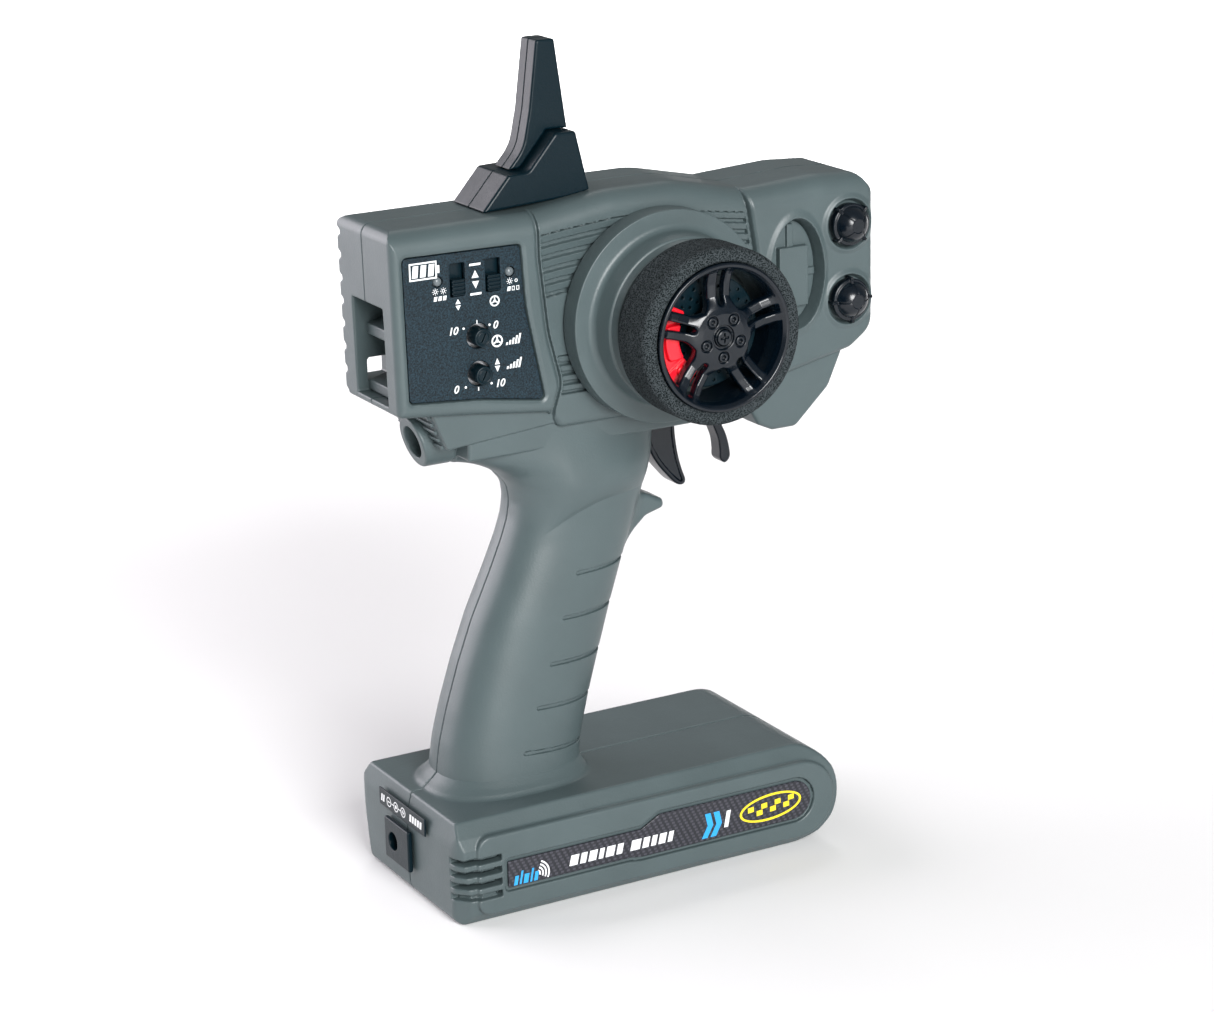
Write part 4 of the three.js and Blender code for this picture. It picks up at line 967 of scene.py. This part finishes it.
# ---- printed marks
def print_marks(name, shapes, place, material):
    """Thin raised ink: each shape is one or two outlines of (u, v) points, the second a hole's edge."""
    points, faces = [], []

    def add_ring(ring, height):
        start = len(points)
        points.extend(place(u, v, height) for u, v in ring)
        return list(range(start, start + len(ring)))

    for outer, *holes in shapes:
        lower, upper = add_ring(outer, 0.0), add_ring(outer, INK)
        n = len(outer)
        faces += [(lower[i], lower[(i + 1) % n], upper[(i + 1) % n], upper[i]) for i in range(n)]
        if not holes:
            faces += [tuple(upper), tuple(reversed(lower))]
            continue
        in_low, in_high = add_ring(holes[0], 0.0), add_ring(holes[0], INK)
        for i in range(n):
            j = (i + 1) % n
            faces += [(in_low[j], in_low[i], in_high[i], in_high[j]),
                    (upper[i], upper[j], in_high[j], in_high[i]),
                    (lower[j], lower[i], in_low[i], in_low[j])]
    mesh = bpy.data.meshes.new(name)
    mesh.from_pydata([tuple(c * MM for c in p) for p in points], [], faces)
    piece = bpy.data.objects.new(name, mesh)
    bpy.context.scene.collection.objects.link(piece)
    bm_fix(piece)
    finish_piece(piece, "body", "label_print", material=material)


def on_panel(u, v, height):
    return (u, PANEL_Y - 0.02 - height, v)


def bar(u0, u1, v0, v1, slant=0.0):
    return ([(u0, v0), (u1, v0), (u1 + slant * (v1 - v0), v1), (u0 + slant * (v1 - v0), v1)],)


def circle(u, v, radius, count):
    return ([(u + radius * math.cos(2 * math.pi * i / count), v + radius * math.sin(2 * math.pi * i / count))
            for i in range(count)],)


def ring(u, v, outer, inner, count):
    return circle(u, v, outer, count) + circle(u, v, inner, count)


def spoke(u, v, angle, near, far, half):
    """A thin bar along a ray from (u, v)."""
    c, s = math.cos(angle), math.sin(angle)
    return ([(u + near * c - half * s, v + near * s + half * c),
            (u + near * c + half * s, v + near * s - half * c),
            (u + far * c + half * s, v + far * s - half * c),
            (u + far * c - half * s, v + far * s + half * c)],)


def sun(u, v, size=0.55):
    rays = [spoke(u, v, math.pi * k / 4, size * 1.35, size * 2.0, 0.09) for k in range(8)]
    return [ring(u, v, size, size * 0.6, 14)] + rays


def frame_box(u0, u1, v0, v1, line):
    return bar(u0, u1, v0, v1) + bar(u0 + line, u1 - line, v0 + line, v1 - line)


def small_wheel(u, v, radius):
    spokes = [spoke(u, v, math.radians(degrees), radius * 0.22, radius * 0.8, radius * 0.12)
            for degrees in (90, 210, 330)]
    return [ring(u, v, radius, radius * 0.74, 28), circle(u, v, radius * 0.28, 16)] + spokes


def up_down(u, v, height):
    half = height / 2
    return [([(u - 0.9, v + 0.25), (u + 0.9, v + 0.25), (u, v + half)],),
            ([(u - 0.9, v - 0.25), (u, v - half), (u + 0.9, v - 0.25)],)]


def wedge_scale(u, v, width, height):
    """A row of growing bars, small to large."""
    return [bar(u + width * k / 5, u + width * (k + 0.62) / 5, v, v + height * (k + 1.4) / 6.4,
            0.25) for k in range(5)]


def panel_marks():
    marks = [frame_box(-72.9, -63.4, 212.3, 217.9, 0.5), bar(-63.4, -62.5, 213.9, 216.3)]
    marks += [bar(-72.0 + 2.75 * k, -70.1 + 2.75 * k, 213.2, 217.0, 0.12) for k in range(3)]
    marks += sun(-64.2, 208.0) + sun(-61.4, 208.0) + [bar(-64.9 + 1.6 * k, -63.8 + 1.6 * k, 205.0, 206.4,
            0.2) for k in range(3)]
    marks += sun(-38.2, 208.0) + [ring(-35.9, 208.0, 0.55, 0.33, 14)]
    marks += [bar(-39.2, -38.1, 204.9, 206.3, 0.2), frame_box(-37.5, -36.5, 204.9, 206.3, 0.2),
            frame_box(-35.9, -34.9, 204.9, 206.3, 0.2)]
    marks += [([(-51.45, 210.7), (-49.0, 210.7), (-50.2, 213.1)],),
            ([(-51.35, 209.6), (-50.15, 207.3), (-48.95, 209.6)],)]
    marks += [bar(-52.2, -48.3, 214.6, 215.3, 0.2), bar(-52.2, -48.3, 205.2, 205.9, 0.2)]
    marks += up_down(-56.5, 202.9, 3.6) + small_wheel(-43.7, 202.4, 1.75)
    for height in (195.0, 176.0):
        marks += [circle(-54.9, height, 0.4, 12), circle(-45.8, height, 0.4, 12)]
    marks += [bar(-50.35, -50.0, 195.9, 197.1), bar(-50.6, -50.25, 174.3, 175.5)]
    marks += small_wheel(-43.3, 189.4, 2.0) + wedge_scale(-40.3, 187.6, 5.2, 3.8)
    marks += up_down(-43.5, 181.6, 4.4) + wedge_scale(-40.3, 179.8, 5.2, 3.8)
    print_marks("panel_print", marks, on_panel, WHITE)


def dial_number(text, u, v, size):
    """Slanted dial numbers in the built-in typeface, flat on the panel."""
    curve = bpy.data.curves.new(f"dial_number_{text}_{abs(int(u * 10))}_{int(v)}", "FONT")
    curve.body, curve.size, curve.shear, curve.extrude = text, size * MM, 0.25, 0.03 * MM
    curve.offset = 0.06 * MM
    number = bpy.data.objects.new(curve.name, curve)
    bpy.context.scene.collection.objects.link(number)
    number.matrix_world = Matrix.Translation((u * MM, (PANEL_Y - 0.05) * MM,
            v * MM)) @ Matrix.Rotation(math.pi / 2, 4, "X")
    finish_piece(number, "body", "label_print", material=WHITE)


panel_marks()
for text, u, v in (("10", -60.4, 193.5), ("0", -44.7, 193.6), ("10", -44.6, 174.5), ("0", -59.2, 174.6)):
    dial_number(text, u, v, 3.4)


# ---- base label and rear strip
def carbon(name):
    """Printed twill: dark bands in two directions with a slow sheen."""
    material, tree, shader, where = new_material(name)
    split = tree.nodes.new("ShaderNodeSeparateXYZ")
    tree.links.new(where, split.inputs["Vector"])
    across = maths(tree, "MULTIPLY", split.outputs["X"], 1 / (1.1 * MM))
    up = maths(tree, "MULTIPLY", split.outputs["Z"], 1 / (1.1 * MM))
    row = maths(tree, "FLOOR", up)
    shifted = maths(tree, "ADD", across, maths(tree, "MULTIPLY", row, 0.5))
    twill = maths(tree, "FRACT", maths(tree, "MULTIPLY", shifted, 0.5))
    crest = maths(tree, "SINE", maths(tree, "MULTIPLY", maths(tree, "FRACT", up), math.pi))
    tone = maths(tree, "MULTIPLY", maths(tree, "GREATER_THAN", twill, 0.5), crest)
    tone = maths(tree, "ADD", maths(tree, "MULTIPLY", tone, 0.7),
            maths(tree, "MULTIPLY", noise(tree, where, 900.0, 3.0), 0.3))
    tree.links.new(graded(tree, tone, [(0.1, (0.010, 0.011, 0.016)), (0.9, (0.055, 0.055, 0.070))]),
            shader.inputs["Base Color"])
    tree.links.new(scaled(tree, tone, 0.42, 0.26), shader.inputs["Roughness"])
    bump(tree, shader, tone, 0.1, 0.05)
    return material


CARBON = carbon("carbon_print")


def label_field(x, y, z):
    return both(LABEL(x, z), slab(y, -37.9, -37.1), 0.2)


def on_label(u, v, height):
    return (u, -37.92 - height, v)


carve("label_film", "body", "label_print", "side_label", label_field, (-55.4, -38.1, 10.6),
        (61.9, -36.9, 24.9), 0.4, CARBON)


def label_marks():
    white, blue, yellow = [], [], []
    # signal arcs and a short blue code of bars at the rear end
    for k, width in enumerate((1.3, 0.7, 1.7, 0.7, 1.3)):
        left = -53.2 + sum((1.3, 0.7, 1.7, 0.7, 1.3)[:k]) + 0.75 * k
        blue.append(bar(left, left + width, 12.0, 16.6 if k % 2 else 15.2, 0.2))
    for radius in (1.4, 2.5, 3.6, 4.7):
        arc = [math.radians(d) for d in range(-48, 49, 8)]
        outer = [(-44.6 + radius * math.cos(a + 0.35), 14.2 + radius * math.sin(a + 0.35)) for a in arc]
        inner = [(-44.6 + (radius - 0.55) * math.cos(a + 0.35),
                14.2 + (radius - 0.55) * math.sin(a + 0.35)) for a in reversed(arc)]
        white.append((outer + inner,))
    # two runs of slanted racing stripes
    left = -32.6
    for k, width in enumerate((3.0, 2.2, 2.9, 1.7, 3.1, 2.2, 0, 3.6, 2.4, 1.9, 2.6, 1.8)):
        if width:
            white.append(bar(left, left + width, 14.0, 17.6, 0.24))
        left += width + (0.95 if width else 2.2)
    for k in range(2):
        u = 18.0 + 3.4 * k
        blue.append(([(u, 11.9), (u + 2.2, 11.9), (u + 4.6, 16.2), (u + 3.6, 20.6), (u + 1.4, 20.6),
                (u + 2.4, 16.2)],))
    white.append(bar(26.8, 28.4, 14.2, 20.0, 0.2))
    # a yellow oval with a small starting-grid pattern
    tilt = math.radians(14)
    def turn(u, v):
        return (45.3 + u * math.cos(tilt) - v * math.sin(tilt), 17.6 + u * math.sin(tilt) * 0.35 + v)
    oval = [turn(12.6 * math.cos(a), 4.7 * math.sin(a)) for a in np.linspace(0, 2 * math.pi, 48,
            endpoint=False)]
    hole = [turn(11.7 * math.cos(a), 3.9 * math.sin(a)) for a in np.linspace(0, 2 * math.pi, 48,
            endpoint=False)]
    yellow.append((oval, hole))
    for k in range(7):
        for row in range(2):
            u, v = -9.2 + 2.75 * k + 0.3 * row, 0.2 - 2.0 * row
            if (k + row) % 2 == 0:
                yellow.append(([turn(u, v), turn(u + 2.4, v), turn(u + 2.8, v + 1.8), turn(u + 0.4, v + 1.8)],
                        ))
    print_marks("label_white", white, on_label, WHITE)
    print_marks("label_blue", blue, on_label, BLUE)
    print_marks("label_yellow", yellow, on_label, YELLOW)


label_marks()


def strip_field(x, y, z):
    return block(x, y, z, (BASE_REAR - 0.9, BASE_REAR - 0.3, -15.6, 19, 25.6, 31.8), 0.2)


def on_strip(u, v, height):
    return (BASE_REAR - 0.92 - height, -u, v)


def strip_marks():
    marks = [ring(u, 28.7, 1.75, 1.4, 22) for u in (-11.3, -5.9, -0.5)]
    marks += [bar(-12.2, -10.4, 28.5, 28.9), circle(-5.9, 28.7, 0.7, 14), bar(-1.4, 0.4, 28.5, 28.9),
            bar(-0.7, -0.3, 27.8, 29.6)]
    marks += [bar(-9.5, -7.7, 28.55, 28.85), bar(-4.1, -2.3, 28.55, 28.85)]
    marks += [bar(-17.4 + 1.5 * k, -16.5 + 1.5 * k, 27.4, 30.0, 0.2) for k in range(2)]
    marks += [bar(4.2 + 1.9 * k, 5.5 + 1.9 * k, 27.4, 30.0, 0.2) for k in range(5)]
    print_marks("strip_print", marks, on_strip, WHITE)


carve("polarity_strip", "body", "satin_black", "rear_strip", strip_field, (-74.2, -15.9, 25.3),
        (-73, 19.3, 32.1), 0.3)
strip_marks()


# ---- materials of the carried-over pieces
def dress(node, material):
    piece = bpy.data.objects[node]
    for slot in piece.material_slots:
        slot.material = material


for part in frame["record"]["subparts"]:
    if part["node"] in bpy.data.objects:
        dress(part["node"], LOOKS[part["material_slot"]])


# ---- camera, light and floor
CAMERA_ANGLES = (-28.88, 17.2, -1.4)   # azimuth, elevation and roll in degrees
CAMERA_PLACE = (-474.26, -870.20, 429.03)
SENSOR, FOCAL_PIXELS, PHOTO_WIDTH = 36, 3116.3, 1214
FLOOR_REACH = 6
WORLD_STRENGTH = 0.24
AIM = (0, 0, 0.13)
# name, place, size, watts, colour, and the spread in degrees of a light that points straight down
LIGHTS = (
    ("key_box", (-0.25, -1.75, 0.85), 0.9, 54, (1, 1, 1), None),
    ("rim_box", (-1.0, 1.15, 0.5), 1.6, 37, (1.0, 0.94, 1.0), None),
    ("floor_box", (1.7, 2.1, 1.6), 2.4, 100, (1, 1, 1), 100))


def stage():
    azimuth, elevation, roll = map(math.radians, CAMERA_ANGLES)
    forward = Vector((-math.sin(azimuth) * math.cos(elevation), math.cos(azimuth) * math.cos(elevation),
            -math.sin(elevation)))
    right = Vector((math.cos(azimuth), math.sin(azimuth), 0))
    up = right.cross(forward)
    right, up = (right * math.cos(roll) + up * math.sin(roll), up * math.cos(roll) - right * math.sin(roll))
    data = bpy.data.cameras.new("camera")
    data.sensor_width = SENSOR
    data.lens = SENSOR * FOCAL_PIXELS / PHOTO_WIDTH
    data.clip_end = 20
    camera = bpy.data.objects.new("camera", data)
    camera.matrix_world = Matrix((right, up, -forward)).transposed().to_4x4()
    camera.matrix_world.translation = Vector(CAMERA_PLACE) * MM
    bpy.context.scene.collection.objects.link(camera)
    bpy.context.scene.camera = camera

    floor_mesh = bpy.data.meshes.new("floor")
    floor_mesh.from_pydata([(u * FLOOR_REACH, v * FLOOR_REACH, 0)
            for u, v in ((-1, -1), (1, -1), (1, 1), (-1, 1))], [], [(0, 1, 2, 3)])
    floor = bpy.data.objects.new("floor", floor_mesh)
    bpy.context.scene.collection.objects.link(floor)
    material, tree, shader, where = new_material("floor")
    tree.links.new(graded(tree, noise(tree, where, 3.0),
            [(0.3, (0.86, 0.86, 0.86)), (0.7, (0.88, 0.88, 0.88))]),
            shader.inputs["Base Color"])
    shader.inputs["Roughness"].default_value = 0.9
    floor_mesh.materials.append(material)

    world = bpy.data.worlds.new("studio")
    world.use_nodes = True
    world.node_tree.nodes["Background"].inputs["Color"].default_value = (1, 1, 1, 1)
    world.node_tree.nodes["Background"].inputs["Strength"].default_value = WORLD_STRENGTH
    bpy.context.scene.world = world
    for name, place, size, power, colour, spread in LIGHTS:
        light = bpy.data.lights.new(name, "AREA")
        light.energy = power
        light.size = size
        light.color = colour
        lamp = bpy.data.objects.new(name, light)
        lamp.location = place
        lamp.visible_camera = False
        if spread:
            light.spread = math.radians(spread)
        else:
            lamp.rotation_euler = (Vector(AIM) - Vector(place)).to_track_quat("-Z", "Y").to_euler()
        bpy.context.scene.collection.objects.link(lamp)
    bpy.context.scene.view_settings.view_transform = "Standard"


stage()
